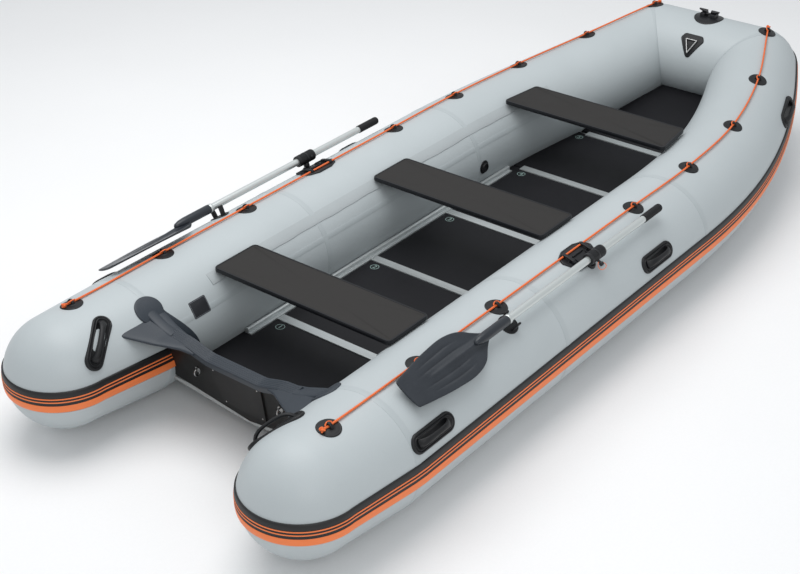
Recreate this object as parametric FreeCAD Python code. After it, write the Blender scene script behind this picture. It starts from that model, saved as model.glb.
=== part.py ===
import FreeCAD, Part
import math
import os

V = FreeCAD.Vector

# Overall sizes of the boat, in millimetres. X runs forward, Y to port, Z up.
overall_length = 4343.0
# Places along the boat keep their share of its length when the length changes
station = overall_length / 4343.0
tube_radius = 247.0
tube_centre_y = 605.0
strake_thickness = 7.0
strake_half_angle = 11.5

# Stern cones and the shape of the bow
cone_start_x = 560.0 * station
cap_start_x = 230.0 * station
cap_radius = 226.0
bend_start_x = 2577.0 * station
shoulder_angle = 25.8
sheer_slope = 15.8
bow_radius = 217.0
bow_rise = 165.0
corner_radius = 12.0
bow_corner_y = 280.0

# Floor and bottom
floor_top_z = 148.0
floor_thickness = 15.0
floor_front_x = 4010.0 * station
bow_panel_angle = 13.5
transom_base_x = 598.0 * station
transom_rake = 14.0
board_thickness = 30.0
notch_half = 138.0
notch_z = 340.0
shoulder_y = 240.0
shoulder_z = 376.0
clamp_plate_half = 132.0
clamp_plate_gap = 20.0
clamp_plate_thickness = 8.0
wing_pad_radius = 60.0
bar_width = 42.0
bar_thickness = 5.0
bar_web = 8.0
bar_x = [x * station for x in (1144.0, 1758.0, 2308.0, 2893.0, 3418.0)]
stringer_start_x = 969.0 * station
stringer_end_x = 2830.0 * station
stringer_inner_y = 334.0
stringer_width = 33.0
stringer_height = 27.0

# Seats
seat_thickness = 19.0
seat_width = 242.0
seat_half_length = 449.0
seat_top_z = 462.0
seat_x = [x * station for x in (1018.0, 2017.0, 3023.0)]
front_seat_half_aft = 443.0
front_seat_half_front = 416.0
front_seat_lift = 12.0
seat_corner_radius = 20.0
strip_thickness = 3.0
strip_start_x = 860.0 * station
strip_end_x = 3260.0 * station

# Grab line and its eyes
eye_x = [x * station for x in (336.0, 815.0, 1297.0, 2293.0, 2767.0, 3264.0, 3742.0)]
eye_angles = (9.0, 9.0, 9.0, 9.0, 9.7, 13.0, 16.0)
corner_eye_angle = 24.0
eye_patch_radius = 45.0
eye_patch_thickness = 4.0
eye_bore_radius = 9.0
eye_ring_radius = 5.0
rope_radius = 4.0
knot_radius = 8.5
line_bend_radius = 40.0
straight_eyes = 4

# Oars and oarlocks
oarlock_x = 1825.0 * station
port_oar_shift = -42.0
collar_angle = 28.0
collar_height = 50.0
pin_tilt = 18.0
shaft_radius = 15.0
collar_radius = 26.0
collar_length = 100.0
fit_clearance = 0.3
oar_front_x = 2333.0 * station
grip_length = 135.0
grip_radius = 18.0
blade_tip_x = 639.0 * station
blade_root_x = 1080.0 * station
blade_width = 184.0
blade_thickness = 9.0
blade_drop = 22.0
sleeve_end_x = 1220.0 * station

# Handles
handle_length = 232.0
handle_width = 76.0
handle_x = [x * station for x in (666.0, 2195.0)]
handle_angle = 63.0
third_handle_x = 3690.0 * station
third_handle_angle = 68.0
handle_height = 38.0
stern_handle_x = 298.0 * station
clip_x = 1260.0 * station
valve_x = 2625.0 * station

# Values that follow from the sizes above
tube_z = tube_radius
tube_front_x = overall_length - strake_thickness - bow_radius
shoulder = math.radians(shoulder_angle)
slope = math.radians(sheer_slope)
bow_pitch = math.atan2(math.tan(slope), math.cos(shoulder))
bow_forward = V(math.cos(bow_pitch), 0, math.sin(bow_pitch))
bow_up = V(-math.sin(bow_pitch), 0, math.cos(bow_pitch))
port_way = V(0, 1, 0)
corner_turn = math.atan2(math.sin(shoulder), math.hypot(math.cos(shoulder), math.tan(slope)))
corner_sweep = 90.0 - math.degrees(corner_turn)
bow_flat_half = bow_corner_y - corner_radius * math.tan(math.radians(corner_sweep / 2))
corner_end = V(tube_front_x, bow_flat_half, tube_z + bow_rise)
corner_axis = corner_end - bow_forward * corner_radius
corner_in = bow_forward * -math.sin(corner_turn) - port_way * math.cos(corner_turn)
corner_start = corner_axis - corner_in * corner_radius
side_end_way = bow_forward * math.cos(corner_turn) - port_way * math.sin(corner_turn)


def export(node, shape):
    """Put the boat's middle at X = 0 and write one node."""
    moved = shape.copy()
    moved.translate(V(-overall_length / 2, 0, 0))
    if moved.ShapeType == "Compound" and len(moved.Solids) == 1:
        moved = moved.Solids[0]
    os.makedirs("parts", exist_ok=True)
    moved.exportStep("parts/" + node + ".step")
    print(node, len(moved.Solids), round(moved.Volume / 1e6, 3), moved.isValid())


def mirrored(shape):
    """The same piece on the starboard side."""
    return shape.mirror(V(0, 0, 0), V(0, 1, 0))


def fused(shapes):
    """One shape out of several that overlap or touch."""
    whole = shapes[0]
    if len(shapes) > 1:
        whole = whole.fuse(shapes[1:])
    return whole.removeSplitter()


def box(x0, x1, y0, y1, z0, z1):
    """A block between two corners."""
    return Part.makeBox(x1 - x0, y1 - y0, z1 - z0, V(x0, y0, z0))


def prism(points, way):
    """A flat outline pushed along a vector."""
    wire = Part.makePolygon(points + [points[0]])
    return Part.Face(wire).extrude(way)


def side_curve():
    """Centre line of the port tube from the end of its straight part to the bow corner."""
    third = (corner_start.x - bend_start_x) / 3
    first = V(bend_start_x, tube_centre_y, tube_z)
    curve = Part.BezierCurve()
    curve.setPoles([first, first + V(third, 0, 0),
                    corner_start - side_end_way * (third / side_end_way.x), corner_start])
    return curve


def side_frame(t):
    """Point, direction, outward and upward vectors of the port centre line at t from 0 to 1."""
    curve = side_curve()
    point = curve.value(t)
    way = curve.tangent(t)[0]
    way.normalize()
    up = V(0, 0, 1) * (1 - t) + bow_up * t
    up = up - way * up.dot(way)
    up.normalize()
    out = up.cross(way)
    out.normalize()
    return point, way, out, up


def bend_radius(t):
    """Radius of the side tube along its bend: it narrows towards the bow."""
    return tube_radius + (bow_radius - tube_radius) * t ** 2


def sector(origin, out, up, r0, r1, a0, a1):
    """Closed wire between two radii and two angles, the angles measured from out towards up."""
    def at(radius, angle):
        a = math.radians(angle)
        return origin + out * (radius * math.cos(a)) + up * (radius * math.sin(a))
    mid = (a0 + a1) / 2
    outer = Part.Arc(at(r1, a0), at(r1, mid), at(r1, a1)).toShape()
    end = Part.LineSegment(at(r1, a1), at(r0, a1)).toShape()
    inner = Part.Arc(at(r0, a1), at(r0, mid), at(r0, a0)).toShape()
    start = Part.LineSegment(at(r0, a0), at(r1, a0)).toShape()
    return Part.Wire([outer, end, inner, start])


def section(x):
    """Height of the tube's centre and its radius at x: the stern cone narrows under a level top line."""
    share = min(1.0, max(0.0, (cone_start_x - x) / (cone_start_x - cap_start_x)))
    radius = tube_radius + (cap_radius - tube_radius) * share
    return 2 * tube_radius - radius, radius


def cap_solid(extra):
    """Rounded end of the port cone, grown outwards by extra: half an ellipse with a small flat tip."""
    z, radius = section(cap_start_x)
    radius = radius + extra
    length = cap_start_x - strake_thickness + extra
    rings = []
    for angle in (0, 15, 30, 45, 60, 75, 87):
        a = math.radians(angle)
        centre = V(cap_start_x - length * math.sin(a) / math.sin(math.radians(87)), tube_centre_y, z)
        rings.append(Part.Wire([Part.makeCircle(radius * math.cos(a), centre, V(1, 0, 0))]))
    return Part.makeLoft(rings, True, False)


def cone_solid():
    """Port stern cone: the tube narrows and ends in a rounded cap."""
    rings = []
    for x in (cap_start_x, cone_start_x):
        z, radius = section(x)
        rings.append(Part.Wire([Part.makeCircle(radius, V(x, tube_centre_y, z), V(1, 0, 0))]))
    return Part.makeLoft(rings, True, True).fuse(cap_solid(0))


def side_tube():
    """Port tube from the stern cone to the bow corner."""
    straight = Part.makeCylinder(tube_radius, bend_start_x - cone_start_x,
                                 V(cone_start_x, tube_centre_y, tube_z), V(1, 0, 0))
    rings = []
    for i in range(7):
        point, way, out, up = side_frame(i / 6)
        rings.append(Part.Wire([Part.makeCircle(bend_radius(i / 6), point, way)]))
    curved = Part.makeLoft(rings, True, False)
    return straight.fuse(curved)


def corner_solid(radius):
    """Rounded outer corner between the port tube and the bow tube."""
    high = math.sqrt(radius ** 2 - corner_radius ** 2)
    out = corner_in * -1
    top = corner_axis + bow_up * high
    low = corner_axis - bow_up * high
    front = corner_axis + out * (corner_radius + radius)
    wire = Part.Wire([Part.Arc(top, front, low).toShape(), Part.LineSegment(low, top).toShape()])
    return Part.Face(wire).revolve(corner_axis, bow_up, -corner_sweep)


def bow_tube(port_tube):
    """Cross tube of the bow, mitred into both side tubes."""
    across = Part.makeCylinder(bow_radius, 2 * bow_flat_half, corner_end, V(0, -1, 0))
    reach = 2 * bow_radius
    from_side = Part.makeCylinder(bow_radius, reach, corner_start, side_end_way)
    from_bow = Part.makeCylinder(bow_radius, reach, corner_end, V(0, 1, 0))
    outward = bow_forward - corner_in
    outward.normalize()
    wedge = from_side.common(from_bow)
    keep = Part.makeCylinder(3 * reach, 3 * reach, corner_axis, outward * -1)
    wedge = wedge.common(keep)
    corner = corner_solid(bow_radius)
    whole = fused([across, corner, wedge, mirrored(corner), mirrored(wedge)])
    return whole.cut(port_tube).cut(mirrored(port_tube))


def rub_strake(hull, board):
    """Band on the widest line of the hull, from transom round the stern, side and bow."""
    r0 = tube_radius
    r1 = tube_radius + strake_thickness
    half = strake_half_angle
    centre = V(cone_start_x, tube_centre_y, tube_z)
    z, radius = section(cap_start_x)
    high = (radius + strake_thickness) * math.sin(math.radians(half))
    ring = cap_solid(strake_thickness).cut(cap_solid(0))
    ring = ring.common(box(-1, cap_start_x, 0, 2 * tube_centre_y, z - high, z + high))
    side = [ring]
    for way in (1, -1):
        wires = []
        for x in (cap_start_x, cone_start_x):
            z, radius = section(x)
            wires.append(sector(V(x, tube_centre_y, z), port_way * way, V(0, 0, 1), radius,
                                radius + strake_thickness, -half, half))
        side.append(Part.makeLoft(wires, True, True))
    outer = Part.Face(sector(centre, port_way, V(0, 0, 1), r0, r1, -half, half))
    side.append(outer.extrude(V(bend_start_x - cone_start_x, 0, 0)))
    wires = []
    for i in range(7):
        point, way, out, up = side_frame(i / 6)
        radius = bend_radius(i / 6)
        wires.append(sector(point, out, up, radius, radius + strake_thickness, -half, half))
    side.append(Part.makeLoft(wires, True, False))
    r0 = bow_radius
    r1 = bow_radius + strake_thickness
    corner = Part.Face(sector(corner_start, corner_in * -1, bow_up, r0, r1, -half, half))
    side.append(corner.revolve(corner_axis, bow_up, -corner_sweep))
    front = Part.Face(sector(corner_end, bow_forward, bow_up, r0, r1, -half, half))
    front = front.extrude(V(0, -2 * bow_flat_half, 0))
    band = fused(side + [mirrored(s) for s in side] + [front])
    for solid in hull + [board]:
        band = band.cut(solid)
    return max(band.Solids, key=lambda s: s.Volume)


bow_panel_x = bar_x[-1] + bar_width / 2 + 5
# Keel line: x, height of the keel and height at which the skin meets the tubes
keel_line = ((540.0 * station, 71.0, 124.0), (1180.0 * station, 34.0, 124.0), (2577.0 * station, 14.0, 124.0),
             (3100.0 * station, 22.0, 128.0), (bow_panel_x, 50.0, 148.0), (3730.0 * station, 100.0, 192.0),
             (4000.0 * station, 165.0, 250.0), (4110.0 * station, 205.0, 280.0))


def panel_underside(x):
    """Height of the floor panels' underside at x: level, then rising with the bow panel."""
    a = math.radians(bow_panel_angle)
    level = floor_top_z - floor_thickness
    rising = floor_top_z - floor_thickness / math.cos(a) + math.tan(a) * (x - bow_panel_x)
    return rising if x >= bow_panel_x else level


def v_bottom(hull, board):
    """V shaped bottom between the tubes, up to the underside of the floor panels."""
    half = tube_centre_y - 150.0
    keel_half = 30.0
    wires = []
    for x, keel_z, side_z in keel_line:
        top = panel_underside(x) - fit_clearance
        side = max(keel_z + 10, min(side_z, top - 4))
        high = max(top, side + 4)
        points = [V(x, half, high), V(x, half, side), V(x, keel_half, keel_z), V(x, -keel_half, keel_z),
                  V(x, -half, side), V(x, -half, high)]
        wires.append(Part.makePolygon(points + [points[0]]))
    shape = Part.makeLoft(wires, True, True)
    aft = transom_base_x - board_thickness / 2
    behind = rake(box(aft - 300, aft, -half, half, -100, 400))
    for solid in hull + [board, behind]:
        shape = shape.cut(solid)
    return max(shape.Solids, key=lambda s: s.Volume)


def keel_guard():
    """Flat wear strip along the keel."""
    strip = 6.0
    wires = []
    for x, keel_z, side_z in keel_line[1:6]:
        points = [V(x, 28, keel_z), V(x, 22, keel_z - strip), V(x, -22, keel_z - strip), V(x, -28, keel_z)]
        wires.append(Part.makePolygon(points + [points[0]]))
    return Part.makeLoft(wires, True, True)


def rake(shape):
    """Lean a piece of the transom aft about the foot of the board."""
    leaning = shape.copy()
    leaning.rotate(V(transom_base_x, 0, floor_top_z), V(0, 1, 0), -transom_rake)
    return leaning


def transom_board(tubes):
    """Board between the tubes with the notch for a motor."""
    x = transom_base_x - board_thickness / 2
    foot = 80.0
    points = [V(x, 0, foot), V(x, 420, foot + 78), V(x, 420, shoulder_z + 20), V(x, shoulder_y, shoulder_z),
              V(x, notch_half, notch_z), V(x, -notch_half, notch_z), V(x, -shoulder_y, shoulder_z),
              V(x, -420, shoulder_z + 20), V(x, -420, foot + 78)]
    board = rake(prism(points, V(board_thickness, 0, 0)))
    for tube in tubes:
        board = board.cut(tube)
    return board


def transom_cap(tubes, board):
    """Moulded channel over the top edge of the board."""
    lap = 16.0
    x = transom_base_x - board_thickness / 2 - 12
    width = board_thickness + 24
    top = 14.0
    line = [(-330, shoulder_z + 10), (-shoulder_y, shoulder_z), (-notch_half, notch_z),
            (notch_half, notch_z), (shoulder_y, shoulder_z), (330, shoulder_z + 10)]
    points = [V(x, y, z + top) for y, z in line] + [V(x, y, z - lap) for y, z in reversed(line)]
    cap = rake(prism(points, V(width, 0, 0)))
    cap = cap.cut(board)
    for tube in tubes:
        cap = cap.cut(tube)
    return cap


def transom_wing(tubes, board, cap):
    """Moulded corner piece: a fan from the board's shoulder onto the port tube, with a round pad."""
    thick = 14.0
    lean = math.tan(math.radians(transom_rake))
    x_mid = transom_base_x - lean * (shoulder_z - floor_top_z)
    y_in = shoulder_y - 42
    inner = [V(x_mid - 27, y_in, shoulder_z - 6), V(x_mid + 27, y_in, shoulder_z - 6),
             V(x_mid + 27, y_in, shoulder_z - 6 - thick), V(x_mid - 27, y_in, shoulder_z - 6 - thick)]
    y_tube = 428.0
    z_tube = 418.0
    outer = [V(x_mid - 168, y_tube, z_tube), V(x_mid + 62, y_tube, z_tube),
             V(x_mid + 62, y_tube, z_tube - thick - 14), V(x_mid - 168, y_tube, z_tube - thick - 14)]
    ends = [Part.makePolygon(ring + [ring[0]]) for ring in (inner, outer)]
    fan = Part.makeLoft(ends, True, True)
    a = math.radians(-40)
    out = V(0, math.sin(a), math.cos(a))
    centre = V(x_mid + 4, tube_centre_y, tube_z)
    skin = Part.makeCylinder(tube_radius + 6, 460, V(x_mid - 230, tube_centre_y, tube_z), V(1, 0, 0))
    pad = Part.makeCylinder(wing_pad_radius, 60, centre + out * (tube_radius - 40), out).common(skin)
    edge = [V(x_mid + 6, 300, z_tube), V(x_mid + 62, 300, z_tube - 6), V(x_mid + 172, 300, 232),
            V(transom_base_x + 8, 300, 200)]
    flange = prism(edge, V(0, 160, 0)).common(skin)
    whole = fused([fan, pad, flange])
    for tube in tubes:
        whole = whole.cut(tube)
    whole = whole.cut(board).cut(cap)
    return max(whole.Solids, key=lambda s: s.Volume)


def clamp_plate(x, foot_half, height):
    """Plate that a motor clamps on: full width under the notch, narrower at its foot."""
    top = notch_z - clamp_plate_gap
    foot = top - height
    corners = ((-clamp_plate_half, top), (clamp_plate_half, top), (foot_half, foot), (-foot_half, foot))
    points = [V(x, y, z) for y, z in corners]
    return rake(prism(points, V(clamp_plate_thickness, 0, 0)))


def tow_rings():
    """Two steel eyes on the aft face of the board, each a half ring standing on a small plate."""
    rings = []
    for y in (-212.0, 212.0):
        x = transom_base_x - board_thickness / 2
        plate = Part.makeCylinder(14, 4, V(x, y, 262), V(-1, 0, 0))
        hoop = Part.makeTorus(15, 3.5, V(x - 9, y, 255), V(0, 1, 0))
        keep = box(x - 60, x, y - 30, y + 30, 200, 320)
        rings.append(rake(fused([plate, hoop.common(keep)])))
    return Part.makeCompound(rings)


def bow_panel(start):
    """The foremost panel, tilted up from its joint."""
    board = box(start, floor_front_x + 100, -420, 420, floor_top_z - floor_thickness, floor_top_z)
    board.rotate(V(start, 0, floor_top_z), V(0, 1, 0), -bow_panel_angle)
    return board.common(box(start, floor_front_x, -420, 420, 0, 600))


def floor_panels(fat_tubes):
    """Six panels between the webs of the cross bars."""
    z0 = floor_top_z - floor_thickness
    gap = bar_web / 2 + 0.5
    edges = [transom_base_x + board_thickness / 2 + 14]
    for x in bar_x:
        edges += [x - gap, x + gap]
    edges.append(floor_front_x)
    panels = []
    for i in range(0, len(edges), 2):
        panel = box(edges[i], edges[i + 1], -420, 420, z0, floor_top_z)
        if i == len(edges) - 2:
            panel = bow_panel(bow_panel_x)
        for tube in fat_tubes:
            panel = panel.cut(tube)
        panels.append(max(panel.Solids, key=lambda s: s.Volume))
    return Part.makeCompound(panels)


def bar_half_length(x):
    """Half the length of a cross bar, shorter where the cockpit narrows."""
    if x < stringer_end_x:
        return stringer_inner_y - 1
    if x < bar_x[4]:
        return 318.0
    return 272.0


def floor_bars():
    """T shaped aluminium joints between the panels."""
    bars = []
    for x in bar_x:
        half = bar_half_length(x)
        side = bar_width / 2
        flange = box(x - side, x + side, -half, half, floor_top_z, floor_top_z + bar_thickness)
        web = box(x - bar_web / 2, x + bar_web / 2, -half, half, floor_top_z - floor_thickness, floor_top_z)
        bars.append(fused([flange, web]))
    return Part.makeCompound(bars)


def stringer(tube):
    """Port side rail on the edge of the panels: a foot flange and a round topped rib."""
    y0 = stringer_inner_y
    y1 = y0 + stringer_width
    z0 = floor_top_z
    length = stringer_end_x - stringer_start_x
    foot = box(stringer_start_x, stringer_end_x, y0, y1, z0, z0 + 6)
    rib = box(stringer_start_x, stringer_end_x, y0 + 14, y1, z0 + 6, z0 + stringer_height - 9)
    top_start = V(stringer_start_x, y0 + 23.5, z0 + stringer_height - 9.5)
    top = Part.makeCylinder(9.5, length, top_start, V(1, 0, 0))
    return fused([foot, rib, top]).cut(tube)


def seat_strip(tube):
    """Strip on the inner shoulder of the port tube that the seats slide on."""
    r0 = tube_radius
    r1 = r0 + strip_thickness
    start = V(strip_start_x, tube_centre_y, tube_z)
    inward = port_way * -1
    low, high = 41.0, 53.0
    flat = Part.Face(sector(start, inward, V(0, 0, 1), r0 - 1, r1, low, high))
    flat = flat.extrude(V(bend_start_x - strip_start_x, 0, 0))
    wires = []
    for i in range(4):
        t = i * (strip_end_x - bend_start_x) / (corner_start.x - bend_start_x) / 3
        point, way, out, up = side_frame(t)
        radius = bend_radius(t)
        wires.append(sector(point, out * -1, up, radius - 1, radius + strip_thickness, low, high))
    return fused([flat, Part.makeLoft(wires, True, False)]).cut(tube)


def rounded_board(points, z0, z1, radius):
    """A flat board with rounded corners from its corner points."""
    solid = prism([V(x, y, z0) for x, y in points], V(0, 0, z1 - z0))
    upright = [e for e in solid.Edges if abs(e.Vertexes[0].X - e.Vertexes[1].X) < 0.01
               and abs(e.Vertexes[0].Y - e.Vertexes[1].Y) < 0.01]
    return solid.makeFillet(radius, upright)


def seat(x, half_aft, half_front, lift):
    """One seat board across the tubes."""
    x0 = x - seat_width / 2
    x1 = x + seat_width / 2
    points = [(x0, -half_aft), (x1, -half_front), (x1, half_front), (x0, half_aft)]
    top = seat_top_z + lift
    return rounded_board(points, top - seat_thickness, top, seat_corner_radius)


def on_tube(x, angle, height):
    """Point over the straight port tube, its angle measured outboard from the crown."""
    a = math.radians(angle)
    r = tube_radius + height
    return V(x, tube_centre_y + r * math.sin(a), tube_z + r * math.cos(a))


def eye_frames():
    """Foot point, direction, normal and tube radius of every rope eye of the port side."""
    frames = []
    for x, angle in zip(eye_x, eye_angles):
        if x <= bend_start_x:
            z, radius = section(x)
            point, way, out, up = V(x, tube_centre_y, z), V(1, 0, 0), V(0, 1, 0), V(0, 0, 1)
        else:
            t = (x - bend_start_x) / (corner_start.x - bend_start_x)
            point, way, out, up = side_frame(t)
            radius = bend_radius(t)
        a = math.radians(90 - angle)
        normal = out * math.cos(a) + up * math.sin(a)
        frames.append((point + normal * radius, way, normal, radius))
    a = math.radians(90 - corner_eye_angle)
    half_way = (bow_forward - corner_in)
    half_way.normalize()
    normal = half_way * math.cos(a) + bow_up * math.sin(a)
    foot = corner_axis + half_way * corner_radius + normal * bow_radius
    way = foot - frames[-1][0]
    way = way - normal * way.dot(normal)
    way.normalize()
    frames.append((foot, way, normal, bow_radius))
    return frames


def rope_eye(foot, way, normal, radius):
    """Round patch that follows the tube, with a small arch for the line to pass."""
    middle = foot - normal * radius
    disc = Part.makeCylinder(eye_patch_radius, 60, foot - normal * 40, normal)
    shell = Part.makeCylinder(radius + eye_patch_thickness, 160, middle - way * 80, way)
    core = Part.makeCylinder(radius - 12, 160, middle - way * 80, way)
    disc = disc.common(shell).cut(core)
    hoop_centre = foot + normal * (eye_patch_thickness + 2)
    hoop = Part.makeTorus(eye_bore_radius + eye_ring_radius, eye_ring_radius, hoop_centre, way)
    upper = Part.makeCylinder(40, 40, hoop_centre - normal * 2, normal)
    arch = hoop.common(upper)
    return disc.fuse(arch).removeSplitter()


def rope_eyes(hull):
    """All eight eyes of the port side."""
    eyes = []
    for frame in eye_frames():
        eye = rope_eye(*frame)
        for tube in hull:
            eye = eye.cut(tube)
        eyes.append(max(eye.Solids, key=lambda s: s.Volume))
    return Part.makeCompound(eyes)


def rounded_path(points, radius):
    """Wire of straight runs with a tangent arc of that radius at every point between them."""
    edges = []
    start = points[0]
    for i in range(1, len(points) - 1):
        before = points[i - 1] - points[i]
        after = points[i + 1] - points[i]
        before.normalize()
        after.normalize()
        half_turn = (math.pi - before.getAngle(after)) / 2
        inward = before + after
        inward.normalize()
        reach = radius * math.tan(half_turn)
        middle = points[i] + inward * (radius / math.cos(half_turn) - radius)
        edges.append(Part.LineSegment(start, points[i] + before * reach).toShape())
        edges.append(Part.Arc(points[i] + before * reach, middle, points[i] + after * reach).toShape())
        start = points[i] + after * reach
    edges.append(Part.LineSegment(start, points[-1]).toShape())
    return Part.Wire(edges)


def grab_line():
    """Line threaded through the port eyes, knotted at both ends."""
    height = eye_patch_thickness + 1 + rope_radius
    frames = eye_frames()
    eyes = [foot + normal * height for foot, way, normal, radius in frames]
    tail = eye_bore_radius + 3 * knot_radius
    rise = knot_radius - rope_radius + fit_clearance
    first = eyes[0] - frames[0][1] * tail + frames[0][2] * rise
    last = eyes[-1] + frames[-1][1] * tail + frames[-1][2] * rise
    points = [first] + eyes[straight_eyes - 1:] + [last]
    path = rounded_path(points, line_bend_radius)
    way = points[1] - points[0]
    rope = path.makePipeShell([Part.Wire([Part.makeCircle(rope_radius, first, way)])], True, True)
    return fused([rope, Part.makeSphere(knot_radius, first), Part.makeSphere(knot_radius, last)])


def oarlock_axis():
    """Centre of the collar and the direction of its swing pin, port side."""
    a = math.radians(pin_tilt)
    return on_tube(oarlock_x, collar_angle, collar_height), V(0, math.sin(a), math.cos(a))


def oarlock_base(tube):
    """Plate on the tube with two cheeks, a channel for the line and the swing stud."""
    centre, pin = oarlock_axis()
    middle = V(oarlock_x - 5, tube_centre_y, tube_z)
    plates = []
    for angle, long, wide in ((10.0, 215.0, 62.0), (22.0, 130.0, 62.0)):
        a = math.radians(angle)
        normal = V(0, math.sin(a), math.cos(a))
        side = V(0, math.cos(a), -math.sin(a))
        foot = middle + normal * (tube_radius - 20)
        corner = foot - V(long / 2, 0, 0) - side * (wide / 2)
        end = corner + V(long, 0, 0)
        plate = prism([corner, end, end + side * wide, corner + side * wide], normal * 60)
        plates.append(plate)
    skin = Part.makeCylinder(tube_radius + 8, 400, middle - V(200, 0, 0), V(1, 0, 0))
    base = fused(plates).common(skin)
    a = math.radians(20)
    normal = V(0, math.sin(a), math.cos(a))
    side = V(0, math.cos(a), -math.sin(a))
    for dx in (-56.0, 56.0):
        foot = middle + V(dx - 7, 0, 0) + normal * (tube_radius - 6) - side * 26
        end = foot + V(14, 0, 0)
        cheek = prism([foot, end, end + side * 46, foot + side * 46], normal * 22)
        base = base.fuse(cheek)
    line_start = on_tube(oarlock_x - 200, eye_angles[3], eye_patch_thickness + 1 + rope_radius)
    line = Part.makeCylinder(rope_radius + 3, 400, line_start, V(1, 0, 0))
    foot_height = collar_radius + 14
    stud = Part.makeCylinder(8, foot_height - 12, centre - pin * (foot_height + 8), pin)
    ear = Part.makeCylinder(20, 22, centre - pin * (foot_height + 14), pin)
    ear = ear.common(Part.makeCylinder(tube_radius + 10, 400, middle - V(200, 0, 0), V(1, 0, 0)))
    base = base.fuse([ear, stud]).cut(line).cut(tube)
    return max(base.removeSplitter().Solids, key=lambda s: s.Volume)


def oarlock_collar():
    """Sleeve round the shaft with a boss on the swing stud and a knob."""
    centre, pin = oarlock_axis()
    half = collar_length / 2
    sleeve = Part.makeCylinder(collar_radius, collar_length, centre - V(half, 0, 0), V(1, 0, 0))
    boss = Part.makeCylinder(14, collar_radius + 8, centre - pin * (collar_radius + 8), pin)
    knob_way = V(0, 0.86, -0.5)
    knob_foot = centre - V(8, 0, 0)
    knob = Part.makeCylinder(6, 24, knob_foot + knob_way * (collar_radius - 4), knob_way)
    head = Part.makeSphere(9, knob_foot + knob_way * (collar_radius + 20))
    collar = fused([sleeve, boss, knob, head])
    bore = Part.makeCylinder(shaft_radius + 0.01, collar_length + 2, centre - V(half + 1, 0, 0), V(1, 0, 0))
    hole = Part.makeCylinder(8 + fit_clearance, 60, centre - pin * (collar_radius + 60 - 8), pin)
    return collar.cut(bore).cut(hole.cut(bore))


def oar_shaft():
    """Aluminium tube of the oar, from the grip to the blade's neck."""
    centre, pin = oarlock_axis()
    start = blade_root_x - 20
    length = oar_front_x - grip_length - start
    return Part.makeCylinder(shaft_radius, length, V(start, centre.y, centre.z), V(1, 0, 0))


def oar_grip():
    """Ribbed hand grip on the forward end of the shaft."""
    centre, pin = oarlock_axis()
    start = V(oar_front_x - grip_length, centre.y, centre.z)
    grip = Part.makeCylinder(grip_radius, grip_length, start, V(1, 0, 0))
    return grip.makeFillet(4, grip.Edges)


def oar_blade(shaft):
    """Blade lying along the tube, with a sleeve over the shaft's end."""
    centre, pin = oarlock_axis()
    a = math.radians(collar_angle + 2)
    normal = V(0, math.sin(a), math.cos(a))
    side = V(0, math.cos(a), -math.sin(a))
    half = blade_width / 2
    outline = ((blade_root_x, 20), (blade_root_x - 60, 0.72 * half), (blade_root_x - 130, half),
               (blade_root_x - 250, 0.97 * half), (blade_tip_x + 60, 0.76 * half), (blade_tip_x, 0.66 * half))
    plane = V(0, centre.y, centre.z) - normal * blade_drop
    edge = [plane + V(x, 0, 0) + side * w for x, w in outline]
    back = [plane + V(x, 0, 0) - side * w for x, w in reversed(outline)]
    curve = Part.BSplineCurve()
    curve.interpolate(edge)
    curve2 = Part.BSplineCurve()
    curve2.interpolate(back)
    wire = Part.Wire([curve.toShape(), Part.LineSegment(edge[-1], back[0]).toShape(),
                      curve2.toShape(), Part.LineSegment(back[-1], edge[0]).toShape()])
    leaf = Part.Face(wire).extrude(normal * blade_thickness)
    sleeve = Part.makeCylinder(shaft_radius + 5, sleeve_end_x - blade_root_x + 30,
                               V(blade_root_x - 30, centre.y, centre.z), V(1, 0, 0))
    rib_start = plane + V(blade_tip_x + 150, 0, 0) + normal * (blade_thickness - 2)
    rib_end = V(blade_root_x - 26, centre.y, centre.z)
    rib = Part.makeCone(6, shaft_radius + 3, (rib_end - rib_start).Length, rib_start, rib_end - rib_start)
    return fused([leaf, sleeve, rib]).cut(shaft)


def oar_clip():
    """Rubber patch under the oar's neck with a low open cradle."""
    angle = 29.0
    x = clip_x
    a = math.radians(angle)
    normal = V(0, math.sin(a), math.cos(a))
    side = V(0, math.cos(a), -math.sin(a))
    middle = V(x, tube_centre_y, tube_z)
    disc = Part.makeCylinder(42, 60, middle + normal * (tube_radius - 30), normal)
    disc = disc.common(Part.makeCylinder(tube_radius + 4, 200, middle - V(100, 0, 0), V(1, 0, 0)))
    disc = disc.cut(Part.makeCylinder(tube_radius, 200, middle - V(100, 0, 0), V(1, 0, 0)))
    cheeks = []
    for s in (-1, 1):
        foot = middle + normal * (tube_radius + 1) + side * (s * 27 - 4) - V(12, 0, 0)
        end = foot + V(24, 0, 0)
        cheeks.append(prism([foot, end, end + side * 8, foot + side * 8], normal * 46))
    return fused([disc] + cheeks)


def oval_handle(foot, way, normal):
    """Moulded carry handle: an oval dish on the fabric and a bar bridging it."""
    side = way.cross(normal)
    half = handle_length / 2 - handle_width / 2
    r = handle_width / 2

    def slot(length_half, radius, low, high):
        a = foot + way * length_half + normal * low
        b = foot - way * length_half + normal * low
        rise = normal * (high - low)
        across = side * radius
        ends = [Part.makeCylinder(radius, high - low, end, normal) for end in (a, b)]
        return fused(ends + [prism([a + across, a - across, b - across, b + across], rise)])
    dish = slot(half, r, -12, 10)
    dish = dish.cut(slot(half - 4, r - 12, 4, 20))
    bar = slot(half - 6, 12, 26, handle_height)
    for s in (-1, 1):
        leg = Part.makeCylinder(11.5, handle_height - 4, foot + way * (s * (half - 4)), normal)
        bar = bar.fuse(leg)
    return fused([dish, bar])


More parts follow.
